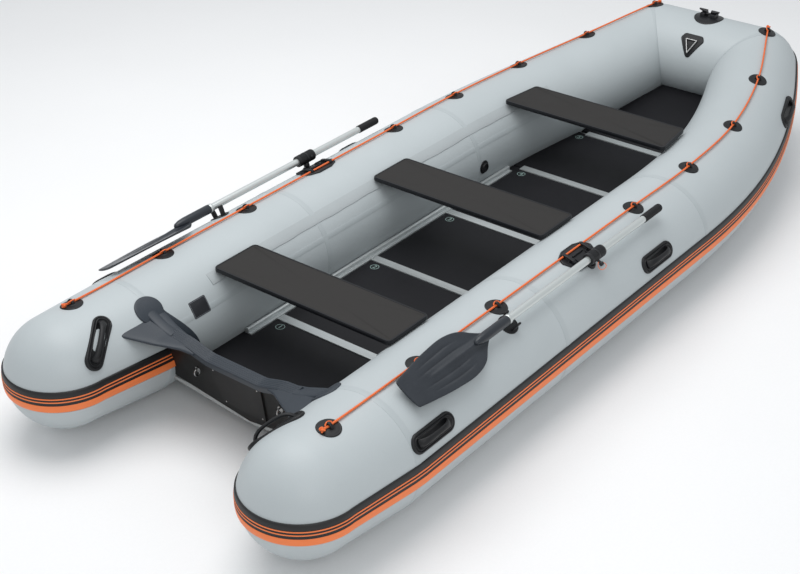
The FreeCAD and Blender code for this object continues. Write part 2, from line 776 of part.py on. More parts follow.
def side_handles(tubes):
    """Three carry handles on the outside of the port tube."""
    handles = []
    a = math.radians(90 - handle_angle)
    for x in handle_x:
        normal = V(0, math.cos(a), math.sin(a))
        foot = V(x, tube_centre_y, tube_z) + normal * tube_radius
        handles.append(oval_handle(foot, V(1, 0, 0), normal))
    t = (third_handle_x - bend_start_x) / (corner_start.x - bend_start_x)
    point, way, out, up = side_frame(t)
    a = math.radians(90 - third_handle_angle)
    normal = out * math.cos(a) + up * math.sin(a)
    handles.append(oval_handle(point + normal * bend_radius(t), way, normal))
    shapes = []
    for handle in handles:
        for tube in tubes:
            handle = handle.cut(tube)
        shapes.append(max(handle.Solids, key=lambda s: s.Volume))
    return Part.makeCompound(shapes)


def stern_handles(cone, tube):
    """Handle on the inner side of the port cone, slanting down and aft."""
    x = stern_handle_x
    z, radius = section(x)
    a = math.radians(-45)
    normal = V(-0.06, math.sin(a), math.cos(a))
    normal.normalize()
    foot = V(x, tube_centre_y, z) + normal * (radius + 1)
    down = V(0, -math.cos(a), math.sin(a))
    way = V(169, 0, 0) - down * 153
    way = way - normal * way.dot(normal)
    way.normalize()
    handle = oval_handle(foot, way, normal).cut(cone).cut(tube)
    handle = max(handle.Solids, key=lambda s: s.Volume)
    return Part.makeCompound([handle, mirrored(handle)])


def bow_fairlead(bow):
    """Moulded cleat on top of the bow tube with a roller notch between two horns."""
    top = V(tube_front_x, 0, tube_z + bow_rise)
    disc = Part.makeCylinder(78, 60, top + V(0, 0, bow_radius - 20), V(0, 0, 1))
    skin = Part.makeCylinder(bow_radius + 5, 300, top - V(0, 150, 0), V(0, 1, 0))
    disc = disc.common(skin)
    z = top.z + bow_radius
    post = box(top.x - 26, top.x + 26, -44, 44, z - 4, z + 26)
    posts = [box(top.x - 11, top.x + 11, y, y + 14, z, z + 34) for y in (-34, 20)]
    horns = fused([Part.makeCylinder(11, 116, V(top.x, -58, z + 34), V(0, 1, 0))] + posts)
    post = post.cut(box(top.x - 60, top.x + 60, -16, 16, z + 8, z + 60))
    return fused([disc, post, horns]).cut(bow)


def bow_shield(bow):
    """Shield shaped patch on the inner side of the bow tube with a loop for the ring."""
    centre = V(tube_front_x, 0, tube_z + bow_rise)
    x = centre.x - bow_radius - 60
    shape = [V(x, -30, centre.z + 168), V(x, 30, centre.z + 168), V(x, 62, centre.z + 150),
             V(x, 58, centre.z + 112), V(x, 18, centre.z + 50), V(x, -18, centre.z + 50),
             V(x, -58, centre.z + 112), V(x, -62, centre.z + 150)]
    prism_block = prism(shape, V(200, 0, 0))
    skin = Part.makeCylinder(bow_radius + 5, 300, centre - V(0, 150, 0), V(0, 1, 0))
    patch = prism_block.common(skin).cut(bow)
    return max(patch.Solids, key=lambda s: s.Volume)


def bow_ring():
    """V shaped steel ring that hangs against the shield patch."""
    centre = V(tube_front_x, 0, tube_z + bow_rise)
    a = math.radians(-56)
    normal = V(math.sin(a), 0, math.cos(a))
    down = V(-math.cos(a), 0, math.sin(a))
    seat_point = centre + normal * (bow_radius + 10)
    corners = [V(0, -30, 0) - down * 26, V(0, 30, 0) - down * 26, down * 44]
    points = [seat_point + c for c in corners]
    rod = 3.5
    solids = []
    for a0, b0 in ((0, 1), (1, 2), (2, 0)):
        p, q = points[a0], points[b0]
        solids.append(Part.makeCylinder(rod, (q - p).Length, p, q - p))
    for p in points:
        solids.append(Part.makeSphere(rod, p))
    return fused(solids)


def valves(tube):
    """Inflation valves on the inner side of both tubes."""
    out = []
    for side in (1, -1):
        foot = V(valve_x, side * (tube_centre_y - tube_radius + 6), tube_z)
        flange = Part.makeCylinder(34, 10, foot, V(0, -side, 0))
        cap = Part.makeCylinder(22, 20, foot, V(0, -side, 0))
        cap = cap.fuse(flange)
        cap = cap.cut(tube if side > 0 else mirrored(tube))
        out.append(max(cap.Solids, key=lambda s: s.Volume))
    return Part.makeCompound(out)


def aft_set(shape):
    """The port oar and its fittings sit a little further aft than the starboard ones."""
    moved = shape.copy()
    moved.translate(V(port_oar_shift, 0, 0))
    return moved


def build():
    """Make every node of the boat."""
    port = side_tube()
    starboard = mirrored(port)
    cone = cone_solid()
    bow = bow_tube(port)
    hull = [port, starboard, bow, cone, mirrored(cone)]
    export("port_tube", port)
    export("starboard_tube", starboard)
    export("port_stern_cone", cone)
    export("starboard_stern_cone", mirrored(cone))
    export("bow_tube", bow)
    board = transom_board(hull)
    export("rub_strake", rub_strake(hull, board))
    export("v_bottom", v_bottom(hull, board))
    export("keel_guard", keel_guard())
    cap = transom_cap(hull, board)
    wing = transom_wing(hull, board, cap)
    export("transom_board", board)
    export("transom_cap", cap)
    export("port_transom_wing", wing)
    export("starboard_transom_wing", mirrored(wing))
    aft_face = transom_base_x - board_thickness / 2
    fore_face = transom_base_x + board_thickness / 2
    export("outer_clamp_plate", clamp_plate(aft_face - clamp_plate_thickness, 108.0, 180.0))
    export("inner_clamp_plate", clamp_plate(fore_face, 120.0, 110.0))
    export("tow_rings", tow_rings())
    export("floor_panels", floor_panels(hull))
    export("floor_bars", floor_bars())
    rail = stringer(port)
    export("port_stringer", rail)
    export("starboard_stringer", mirrored(rail))
    strip = seat_strip(port)
    export("port_seat_strip", strip)
    export("starboard_seat_strip", mirrored(strip))
    export("aft_seat", seat(seat_x[0], seat_half_length, seat_half_length, 0))
    export("middle_seat", seat(seat_x[1], seat_half_length, seat_half_length, 0))
    export("front_seat", seat(seat_x[2], front_seat_half_aft, front_seat_half_front, front_seat_lift))
    eyes = rope_eyes(hull)
    export("port_rope_eyes", eyes)
    export("starboard_rope_eyes", mirrored(eyes))
    line = grab_line()
    print("line", round(line.Volume), "length", round(line.Volume / (math.pi * rope_radius ** 2)))
    export("port_grab_line", line)
    export("starboard_grab_line", mirrored(line))
    base = oarlock_base(port)
    collar = oarlock_collar()
    shaft = oar_shaft()
    blade = oar_blade(shaft)
    for side, turn in (("port", aft_set), ("starboard", mirrored)):
        export(side + "_oarlock_base", turn(base))
        export(side + "_oarlock_collar", turn(collar))
        export(side + "_oar_shaft", turn(shaft))
        export(side + "_oar_grip", turn(oar_grip()))
        export(side + "_oar_blade", turn(blade))
        export(side + "_oar_clip", turn(oar_clip()))
    handles = side_handles(hull)
    export("port_carry_handles", handles)
    export("starboard_carry_handles", mirrored(handles))
    export("stern_handles", stern_handles(cone, port))
    export("bow_fairlead", bow_fairlead(bow))
    export("bow_shield_patch", bow_shield(bow))
    export("bow_ring", bow_ring())
    export("inflation_valves", valves(port))


build()
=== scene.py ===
import math

import bmesh
import bpy
import numpy as np
from mathutils import Matrix, Vector


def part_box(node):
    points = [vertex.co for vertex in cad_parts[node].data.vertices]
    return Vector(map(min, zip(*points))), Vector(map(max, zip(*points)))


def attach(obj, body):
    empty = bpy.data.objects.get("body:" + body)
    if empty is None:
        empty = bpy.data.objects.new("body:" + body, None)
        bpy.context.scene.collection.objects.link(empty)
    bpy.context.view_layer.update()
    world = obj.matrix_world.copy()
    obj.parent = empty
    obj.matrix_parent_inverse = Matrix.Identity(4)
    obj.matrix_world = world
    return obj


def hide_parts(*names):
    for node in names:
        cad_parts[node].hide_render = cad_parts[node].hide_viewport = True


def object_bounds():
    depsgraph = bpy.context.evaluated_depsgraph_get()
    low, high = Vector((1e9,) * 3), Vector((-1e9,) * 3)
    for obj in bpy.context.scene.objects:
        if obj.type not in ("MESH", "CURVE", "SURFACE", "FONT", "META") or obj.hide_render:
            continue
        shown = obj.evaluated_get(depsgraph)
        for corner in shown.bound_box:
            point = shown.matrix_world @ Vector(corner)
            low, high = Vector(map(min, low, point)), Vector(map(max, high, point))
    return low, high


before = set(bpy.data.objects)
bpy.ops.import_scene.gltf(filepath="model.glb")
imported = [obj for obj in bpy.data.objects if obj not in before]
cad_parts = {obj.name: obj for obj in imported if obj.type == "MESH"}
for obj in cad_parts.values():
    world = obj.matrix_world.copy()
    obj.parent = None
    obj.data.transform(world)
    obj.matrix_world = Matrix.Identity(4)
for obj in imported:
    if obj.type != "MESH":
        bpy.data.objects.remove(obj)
cad_low, cad_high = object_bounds()


# The studio: a plain pale floor, one broad soft light overhead, a weaker one from the quarter,
# and the camera off the starboard quarter, looking forward and down into the boat.
camera_right = Vector((0.62052925, -0.78411465, -0.01037618))
camera_up = Vector((0.40992004, 0.31306388, 0.85671265))
camera_view = Vector((0.66851253, 0.53586866, -0.51568961))
camera_data = bpy.data.cameras.new("quarter_camera")
camera_data.sensor_width = 36.0
camera_data.lens = 67.16
camera_data.clip_end = 200.0
camera = bpy.data.objects.new("quarter_camera", camera_data)
view = Matrix((camera_right, camera_up, -camera_view)).transposed().to_4x4()
view.translation = (-4.8115, -3.33755, 3.44603)
camera.matrix_world = view
bpy.context.scene.collection.objects.link(camera)
bpy.context.scene.camera = camera
bpy.context.scene.view_settings.view_transform = "Standard"

world = bpy.data.worlds.new("studio")
world.use_nodes = True
sky = world.node_tree.nodes["Background"].inputs
sky["Color"].default_value = (0.94, 0.97, 1.0, 1.0)
sky["Strength"].default_value = 0.62
bpy.context.scene.world = world
for name, place, size, power in (("overhead_light", (-0.6, 0.8, 5.2), 5.0, 190.0),
                                 ("quarter_light", (-4.5, -4.5, 3.8), 3.0, 60.0)):
    lamp = bpy.data.lights.new(name, "AREA")
    lamp.shape = "DISK"
    lamp.size = size
    lamp.energy = power
    light = bpy.data.objects.new(name, lamp)
    light.location = place
    light.rotation_euler = (-Vector(place)).to_track_quat("-Z", "Y").to_euler()
    bpy.context.scene.collection.objects.link(light)


def add_node(tree, kind, values=(), **settings):
    """A shader node with its settings and input values."""
    made = tree.nodes.new(kind)
    for key, value in settings.items():
        setattr(made, key, value)
    for key, value in dict(values).items():
        made.inputs[key].default_value = value
    return made


def join(tree, start, output, end, entry):
    """A link from one node's output to another node's input."""
    tree.links.new(start.outputs[output], end.inputs[entry])


def moulded_finish(name, dark, light, roughness, grain=90.0, stretch=(1, 1, 1), bump=0.25, depth=0.0004,
                   metallic=0.0, patches=4.0, level=0.5):
    """Material whose colour runs between dark and light by two noises, a coarse one for handling and
    dirt and a fine one for grain, with the fine one in the bump and the coarse one in the roughness
    too."""
    material = bpy.data.materials.new(name)
    material.use_nodes = True
    tree = material.node_tree
    shader = tree.nodes["Principled BSDF"]
    shader.inputs["Metallic"].default_value = metallic
    shader.inputs["Specular IOR Level"].default_value = level
    place = add_node(tree, "ShaderNodeTexCoord")
    turn = add_node(tree, "ShaderNodeMapping", {"Scale": stretch})
    join(tree, place, "Object", turn, "Vector")
    coarse = add_node(tree, "ShaderNodeTexNoise", {"Scale": patches, "Detail": 4.0, "Roughness": 0.6})
    fine = add_node(tree, "ShaderNodeTexNoise", {"Scale": grain, "Detail": 3.0, "Roughness": 0.7})
    join(tree, turn, "Vector", coarse, "Vector")
    join(tree, turn, "Vector", fine, "Vector")
    blend = add_node(tree, "ShaderNodeMath", {1: 0.45}, operation="MULTIPLY_ADD")
    join(tree, fine, "Fac", blend, 0)
    half = add_node(tree, "ShaderNodeMath", {1: 0.55}, operation="MULTIPLY")
    join(tree, coarse, "Fac", half, 0)
    join(tree, half, "Value", blend, 2)
    ramp = add_node(tree, "ShaderNodeValToRGB")
    ramp.color_ramp.elements[0].position = 0.3
    ramp.color_ramp.elements[0].color = (*dark, 1.0)
    ramp.color_ramp.elements[1].position = 0.7
    ramp.color_ramp.elements[1].color = (*light, 1.0)
    join(tree, blend, "Value", ramp, "Fac")
    join(tree, ramp, "Color", shader, "Base Color")
    worn = add_node(tree, "ShaderNodeMapRange", {"From Min": 0.3, "From Max": 0.7, "To Min": roughness - 0.07,
                                                 "To Max": roughness + 0.07})
    join(tree, coarse, "Fac", worn, "Value")
    join(tree, worn, "Result", shader, "Roughness")
    relief = add_node(tree, "ShaderNodeBump", {"Strength": bump, "Distance": depth})
    join(tree, fine, "Fac", relief, "Height")
    join(tree, relief, "Normal", shader, "Normal")
    return material


floor_mesh = bpy.data.meshes.new("studio_floor")
floor_reach = 30.0
floor_corners = [(x * floor_reach, y * floor_reach, -0.001) for x, y in ((-1, -1), (1, -1), (1, 1), (-1, 1))]
floor_mesh.from_pydata(floor_corners, [], [(0, 1, 2, 3)])
studio_floor = bpy.data.objects.new("studio_floor", floor_mesh)
bpy.context.scene.collection.objects.link(studio_floor)
floor_mesh.materials.append(moulded_finish("pale_floor", (0.86, 0.86, 0.86), (0.9, 0.9, 0.9), 0.8, patches=0.5))


# The buoyancy tubes: two side tubes with tapered stern cones and a cross tube at the bow. Each is a bag
# of woven polyester coated with PVC on both faces, welded up from panels and blown to shape.
half_length = -cad_low.x * 1000.0
tube_radius = 247.0
tube_centre_y = 605.0
tube_z = tube_radius
cone_start = 560.0
cap_start = 230.0
cap_radius = 226.0
cap_length = 223.0
bend_start = 2577.0
bow_radius = 217.0
corner_radius = 12.0
shoulder = math.radians(25.8)
slope = math.radians(15.8)
bow_pitch = math.atan2(math.tan(slope), math.cos(shoulder))
bow_forward = np.array((math.cos(bow_pitch), 0.0, math.sin(bow_pitch)))
bow_up = np.array((-math.sin(bow_pitch), 0.0, math.cos(bow_pitch)))
port_way = np.array((0.0, 1.0, 0.0))
corner_turn = math.atan2(math.sin(shoulder), math.hypot(math.cos(shoulder), math.tan(slope)))
corner_half = (math.pi / 2 - corner_turn) / 2
bow_flat_half = 280.0 - corner_radius * math.tan(corner_half)
bow_x = 4119.0
bow_z = tube_z + 165.0
corner_axis = np.array((bow_x, bow_flat_half, bow_z)) - bow_forward * corner_radius
corner_out = bow_forward * math.sin(corner_turn) + port_way * math.cos(corner_turn)
side_end_way = bow_forward * math.cos(corner_turn) - port_way * math.sin(corner_turn)
corner_start = corner_axis + corner_out * corner_radius


def unit(vectors):
    """Vectors divided by their lengths."""
    return vectors / np.linalg.norm(vectors, axis=-1, keepdims=True)


def tube_frames(x):
    """Centre, forward, outboard and upward directions and radius of the port tube at stations x: a cone
    whose top line is level, a straight run, then a cubic Bezier curve in which x grows evenly with the
    parameter."""
    x = np.asarray(x, float)
    third = (corner_start[0] - bend_start) / 3
    t = np.clip((x - bend_start) / (3 * third), 0, 1)[..., None]
    first = np.array((bend_start, tube_centre_y, tube_z))
    poles = (first, first + (third, 0, 0), corner_start - side_end_way * (third / side_end_way[0]),
             corner_start)
    curve = ((1 - t) ** 3 * poles[0] + 3 * t * (1 - t) ** 2 * poles[1]
             + 3 * t ** 2 * (1 - t) * poles[2] + t ** 3 * poles[3])
    way = unit((1 - t) ** 2 * (poles[1] - poles[0]) + 2 * t * (1 - t) * (poles[2] - poles[1])
               + t ** 2 * (poles[3] - poles[2]))
    share = np.clip((cone_start - x) / (cone_start - cap_start), 0, 1)
    radius = tube_radius + (cap_radius - tube_radius) * share + (bow_radius - tube_radius) * t[..., 0] ** 2
    straight = np.stack([x, np.full_like(x, tube_centre_y), tube_z + (tube_radius - cap_radius) * share], -1)
    centre = np.where(t > 0, curve, straight)
    up = np.array((0.0, 0.0, 1.0)) * (1 - t) + bow_up * t
    up = unit(up - way * np.sum(up * way, -1, keepdims=True))
    return centre, way, np.cross(up, way), up, radius


def tube_skin(x, angle, height=0.0):
    """Points over the port tube at stations x and angles measured from outboard towards the top."""
    centre, way, out, up, radius = tube_frames(x)
    reach = (radius + height)[..., None]
    return centre + reach * (np.cos(angle)[..., None] * out + np.sin(angle)[..., None] * up)


def cap_skin(tilt, angle, height=0.0):
    """Points on the rounded end of the cone: half an ellipsoid, tilt running from its rim to its
    tip."""
    x = cap_start - (cap_length + height) * np.sin(tilt)
    across = (cap_radius + height) * np.cos(tilt)
    return np.stack([x + 0 * angle, tube_centre_y + across * np.cos(angle),
                     2 * tube_radius - cap_radius + across * np.sin(angle)], -1)


def turned_out(angle):
    """Direction in the bow's plane after turning from the side tube's outboard way by an angle."""
    turn = corner_turn + angle
    return np.sin(turn)[..., None] * bow_forward + np.cos(turn)[..., None] * port_way


last_run = 250.0


def corner_rows(share, angle, height=0.0):
    """The last run of the side tube up to the mitre: along the tube, then round the corner's axis on
    the outer side, while on the inner side the run is cut short where it meets the mitre plane."""
    radius = bow_radius + height
    q = corner_radius + radius * np.cos(angle)
    length = last_run + np.where(q > 0, q * corner_half, q * math.tan(corner_half))
    along = share * length
    run_x = last_run * side_end_way[0]
    on_tube = tube_skin(corner_start[0] - run_x + np.minimum(along, last_run) / last_run * run_x, angle, height)
    turn = np.clip((along - last_run) / np.maximum(q, 1.0), 0, corner_half)
    round_axis = corner_axis + turned_out(turn) * q[..., None] + bow_up * (radius * np.sin(angle))[..., None]
    points = np.where((along > last_run)[..., None] & (q > 0)[..., None], round_axis, on_tube)
    end_x = corner_start[0] - run_x + np.minimum(length, last_run) / last_run * run_x
    mitre = corner_axis + turned_out(np.full_like(q, corner_half)) * (q / math.cos(corner_half))[..., None] \
        + bow_up * (radius * np.sin(angle))[..., None]
    error = np.where((q > 0)[..., None], 0.0, mitre - tube_skin(end_x, angle, height))
    return points + error * share[..., None] ** 2


def bow_rows(share, angle, height=0.0):
    """The bow tube from the mitre to the middle of the boat: round the corner's axis on the outer side,
    then straight across; on the inner side straight from the mitre plane."""
    radius = bow_radius + height
    q = corner_radius + radius * np.cos(angle)
    bend = np.where(q > 0, q * corner_half, 0.0)
    length = bend + bow_flat_half + np.where(q > 0, 0.0, q * math.tan(corner_half))
    along = share * length
    turn = corner_half + np.clip(along / np.maximum(q, 1.0), 0, corner_half)
    round_axis = corner_axis + turned_out(turn) * q[..., None] + bow_up * (radius * np.sin(angle))[..., None]
    y = (length - along)[..., None]
    across = np.array((bow_x, 0.0, bow_z)) + port_way * y + bow_forward * (radius * np.cos(angle))[..., None] \
        + bow_up * (radius * np.sin(angle))[..., None]
    return np.where((along < bend)[..., None], round_axis, across)


def ring_shell(rings, closed=False, uv=None):
    """A closed surface through rings of points, (rows, points, 3): quads between neighbours, and either
    a fan on each end ring or, when closed, quads back to the first ring. uv gives each quad corner its
    own pair, (rows+1, points+1)."""
    rows, count = rings.shape[:2]
    i, j = np.meshgrid(np.arange(rows if closed else rows - 1), np.arange(count), indexing="ij")
    after, beside = (i + 1) % rows, (j + 1) % count
    quads = np.stack([i * count + j, i * count + beside, after * count + beside, after * count + j],
                     -1).reshape(-1, 4)
    if uv is None:
        along = np.concatenate([[0], np.cumsum(np.linalg.norm(np.diff(rings.mean(1), axis=0), axis=-1))])
        along = np.append(along, along[-1] * (1 + 1 / rows)) / 1000
        girth = np.linalg.norm(rings - np.roll(rings, 1, 1), axis=-1).sum(1).mean() / 1000
        uv = np.stack(np.meshgrid(along, np.linspace(0, girth, count + 1), indexing="ij"), -1)
    quad_uv = np.stack([uv[i, j], uv[i, j + 1], uv[i + 1, j + 1], uv[i + 1, j]], -2).reshape(-1, 4, 2)
    points = rings.reshape(-1, 3)
    if closed:
        return points, quads, np.zeros((0, 3), int), quad_uv, np.zeros((0, 3, 2))
    edge = np.arange(count)
    start, end = rows * count, rows * count + 1
    last = (rows - 1) * count
    tris = np.concatenate([np.stack([np.full(count, start), (edge + 1) % count, edge], -1),
                           np.stack([np.full(count, end), last + edge, last + (edge + 1) % count], -1)])
    tri_uv = np.concatenate([np.stack([uv[0, edge], uv[0, edge + 1], uv[0, edge]], -2),
                             np.stack([uv[rows - 1, edge], uv[rows - 1, edge], uv[rows - 1, edge + 1]], -2)])
    points = np.concatenate([points, rings[:1].mean(1), rings[-1:].mean(1)])
    return points, quads, tris, quad_uv, tri_uv


def mirrored(shell):
    """The same surface on the other side of the boat."""
    return (shell[0] * (1, -1, 1),) + shell[1:]


def mesh_piece(name, shells, material, body, replaced=(), crease=40.0):
    """One object made of closed surfaces given in millimetres from the stern, with outward faces and
    sharp edges where faces meet at more than the crease angle. It rides on a body and may stand for CAD
    nodes."""
    counts = np.cumsum([0] + [len(s[0]) for s in shells])
    points = (np.concatenate([s[0] for s in shells]) - (half_length, 0, 0)) / 1000
    faces = sum([(s[1] + n).tolist() + (s[2] + n).tolist() for s, n in zip(shells, counts)], [])
    uvs = np.concatenate([part.reshape(-1, 2) for s in shells for part in (s[3], s[4])])
    mesh = bpy.data.meshes.new(name)
    mesh.from_pydata(points.tolist(), [], faces)
    mesh.uv_layers.new(name="surface").data.foreach_set("uv", uvs.astype(np.float32).ravel())
    work = bmesh.new()
    work.from_mesh(mesh)
    bmesh.ops.recalc_face_normals(work, faces=work.faces)
    work.to_mesh(mesh)
    work.free()
    mesh.polygons.foreach_set("use_smooth", np.ones(len(mesh.polygons), bool))
    mesh.set_sharp_from_angle(angle=math.radians(crease))
    mesh.materials.append(material)
    piece = bpy.data.objects.new(name, mesh)
    bpy.context.scene.collection.objects.link(piece)
    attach(piece, body)
    for node in replaced:
        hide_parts(node)
    return piece


def both_sides(name, shells, material, nodes=(), crease=40.0):
    """The same piece on the port side and, mirrored, on the starboard side; nodes are named without
    their side."""
    for side, turned in (("port_", list), ("starboard_", lambda kept: [mirrored(s) for s in kept])):
        mesh_piece(side + name, turned(shells), material, "hull", [side + node for node in nodes], crease)


def coated_fabric(name, dark, light, roughness):
    """PVC coated cloth: near even colour, soft slow undulation of the blown panel, and the faint weave
    of the polyester showing through, its threads 3 mm apart along and across the panel."""
    material = moulded_finish(name, dark, light, roughness, grain=260.0, bump=0.1, depth=0.0003, patches=2.5,
                              level=0.45)
    tree = material.node_tree
    shader = tree.nodes["Principled BSDF"]
    grain = tree.nodes["Bump"]
    place = tree.nodes["Texture Coordinate"]
    thread = 105.0
    waves = [add_node(tree, "ShaderNodeTexWave", {"Scale": thread, "Distortion": 0.3}, bands_direction=way)
             for way in "XY"]
    for wave in waves:
        join(tree, place, "UV", wave, "Vector")
    weave = add_node(tree, "ShaderNodeMath", operation="MULTIPLY")
    join(tree, waves[0], "Fac", weave, 0)
    join(tree, waves[1], "Fac", weave, 1)
    threads = add_node(tree, "ShaderNodeBump", {"Strength": 0.12, "Distance": 0.0003})
    join(tree, weave, "Value", threads, "Height")
    join(tree, grain, "Normal", threads, "Normal")
    swell = add_node(tree, "ShaderNodeTexNoise", {"Scale": 5.0, "Detail": 2.0})
    join(tree, place, "Object", swell, "Vector")
    panel = add_node(tree, "ShaderNodeBump", {"Strength": 0.22, "Distance": 0.006})
    join(tree, swell, "Fac", panel, "Height")
    join(tree, threads, "Normal", panel, "Normal")
    join(tree, panel, "Normal", shader, "Normal")
    return material


tube_fabric = coated_fabric("tube_fabric", (0.435, 0.475, 0.487), (0.475, 0.515, 0.527), 0.45)
round_tube = np.linspace(0, 2 * np.pi, 129)[:-1]


def on_grid(rows):
    """Row and angle arrays for a skin of the whole girth."""
    return np.meshgrid(rows, round_tube, indexing="ij")


run_start = corner_start[0] - last_run * side_end_way[0]
side_x, side_angle = on_grid(np.concatenate([np.linspace(cone_start, bend_start, 30),
                                             np.linspace(bend_start, run_start, 40)[1:]]))
corner_share, corner_angle = on_grid(np.linspace(0, 1, 26)[1:])
side_skin = ring_shell(np.concatenate([tube_skin(side_x, side_angle), corner_rows(corner_share, corner_angle)]))
cap_tilt, cap_angle = on_grid(np.linspace(math.radians(89), 0, 30))
cone_x, cone_angle = on_grid(np.linspace(cap_start, cone_start, 8)[1:])
cone_skin = ring_shell(np.concatenate([cap_skin(cap_tilt, cap_angle), tube_skin(cone_x, cone_angle)]))
bow_share, bow_angle = on_grid(np.linspace(0, 1, 40))
bow_half = bow_rows(bow_share, bow_angle)
bow_skin = ring_shell(np.concatenate([bow_half, (bow_half * (1, -1, 1))[-2::-1]]))
both_sides("tube_skin", [side_skin], tube_fabric, ["tube"])
both_sides("cone_skin", [cone_skin], tube_fabric, ["stern_cone"])
mesh_piece("bow_tube_skin", [bow_skin], tube_fabric, "hull", ["bow_tube"])


# Seam tapes: strips of the same cloth welded over every joint between two panels, about a millimetre
# thick. Cross tapes ring the tubes at the cones, the shoulders and the bow, and one long tape runs
# inside each side tube.
tape_fabric = coated_fabric("tape_fabric", (0.405, 0.445, 0.457), (0.445, 0.485, 0.497), 0.42)
tape_half = 14.0
tape_edge = np.array([(-1.0, -1.5), (-1.0, 0.6), (-0.9, 0.9), (0.9, 0.9), (1.0, 0.6), (1.0, -1.5)])


def cross_tape(x):
    """A band round the tube at x: its section stands a little proud of the skin."""
    angle, corner = np.meshgrid(round_tube, np.arange(len(tape_edge)), indexing="ij")
    return ring_shell(tube_skin(x + tape_half * tape_edge[corner, 0], angle, tape_edge[corner, 1]), closed=True)


def long_tape(x0, x1, angle, half):
    """A strip along the tube between two stations at one angle."""
    x, corner = np.meshgrid(np.linspace(x0, x1, 60), np.arange(len(tape_edge)), indexing="ij")
    return ring_shell(tube_skin(x, angle + half / tube_radius * tape_edge[corner, 0], tape_edge[corner, 1]))


def mitre_tape():
    """A band on the side tube's last run, along the mitre with the bow tube."""
    angle, corner = np.meshgrid(round_tube, np.arange(len(tape_edge)), indexing="ij")
    share = 0.957 + 0.04 * tape_edge[corner, 0]
    return ring_shell(corner_rows(share, angle, tape_edge[corner, 1]), closed=True)


panel_joint = 1498.0
inner_seam, lower_seam = math.radians(155), math.radians(-75)
port_tapes = [cross_tape(cone_start), cross_tape(panel_joint), cross_tape(bend_start + 20), mitre_tape(),
              long_tape(640.0, 3300.0, inner_seam, 12.0), long_tape(640.0, 3600.0, lower_seam, 12.0)]
mesh_piece("seam_tapes", port_tapes + [mirrored(s) for s in port_tapes], tape_fabric, "hull")


# The rubbing strake: one long extruded rubber band glued round the widest line of the hull, black with
# two thin orange ribs above and a broad orange rib below, running round both cones to the transom.
strake_half = math.radians(11.5)
strake_high = 7.0
# Share of the band's width from its upper edge, and height of the rubber there
strake_section = np.array([(0.0, -1.5), (0.0, 2.0), (0.02, 5.0), (0.06, 6.0), (0.23, 6.0), (0.265, 5.2),
                           (0.275, 4.6), (0.285, 6.2), (0.31, 6.7), (0.335, 6.2), (0.345, 4.6),
                           (0.355, 4.4), (0.405, 4.4), (0.415, 4.6), (0.425, 6.2), (0.45, 6.7),
                           (0.475, 6.2), (0.485, 4.6), (0.495, 4.4), (0.60, 4.4), (0.61, 4.8),
                           (0.625, 6.3), (0.67, 6.9), (0.78, 7.0), (0.90, 6.9), (0.945, 6.2), (0.96, 4.6),
                           (0.975, 3.2), (1.0, 2.0), (1.0, -1.5)])
strake_angle = strake_half * (1 - 2 * strake_section[:, 0])
strake_rise = strake_section[:, 1]


def strake_grid(rows):
    """Row values beside the band's angles and heights, as grids."""
    row, corner = np.meshgrid(rows, np.arange(len(strake_section)), indexing="ij")
    return row, strake_angle[corner], strake_rise[corner]


def strake_round_cap(turn, angle, rise):
    """Points of the band round the cone's end: turn runs from the inner side by the tip to the outer
    side."""
    flat = np.cos(angle)
    z = 2 * tube_radius - cap_radius + (cap_radius + rise) * np.sin(angle)
    return np.stack([cap_start - (cap_length + rise) * flat * np.sin(turn),
                     tube_centre_y + (cap_radius + rise) * flat * np.cos(turn), z], -1)


inner_x, inner_angle, inner_rise = strake_grid(np.linspace(572.0, cap_start, 10))
turn, turn_angle, turn_rise = strake_grid(np.linspace(np.pi, 0, 62)[1:-1])
outer_x, outer_angle, outer_rise = strake_grid(np.concatenate([np.linspace(cap_start, bend_start, 40),
                                                               np.linspace(bend_start, run_start, 50)[1:]]))
share, share_angle, share_rise = strake_grid(np.linspace(0, 1, 30)[1:])
front, front_angle, front_rise = strake_grid(np.linspace(0, 1, 30)[1:])
strake_port = np.concatenate([tube_skin(inner_x, np.pi - inner_angle, inner_rise),
                              strake_round_cap(turn, turn_angle, turn_rise),
                              tube_skin(outer_x, outer_angle, outer_rise),
                              corner_rows(share, share_angle, share_rise),
                              bow_rows(front, front_angle, front_rise)])
strake_rings = np.concatenate([strake_port, (strake_port * (1, -1, 1))[-2::-1]])
strake_along = np.append(0, np.cumsum(np.linalg.norm(np.diff(strake_rings[:, 12], axis=0), axis=-1)))
strake_along = np.append(strake_along, strake_along[-1] + 1) / 1000
strake_uv = np.stack(np.meshgrid(strake_along, np.append(strake_section[:, 0], 0), indexing="ij"), -1)


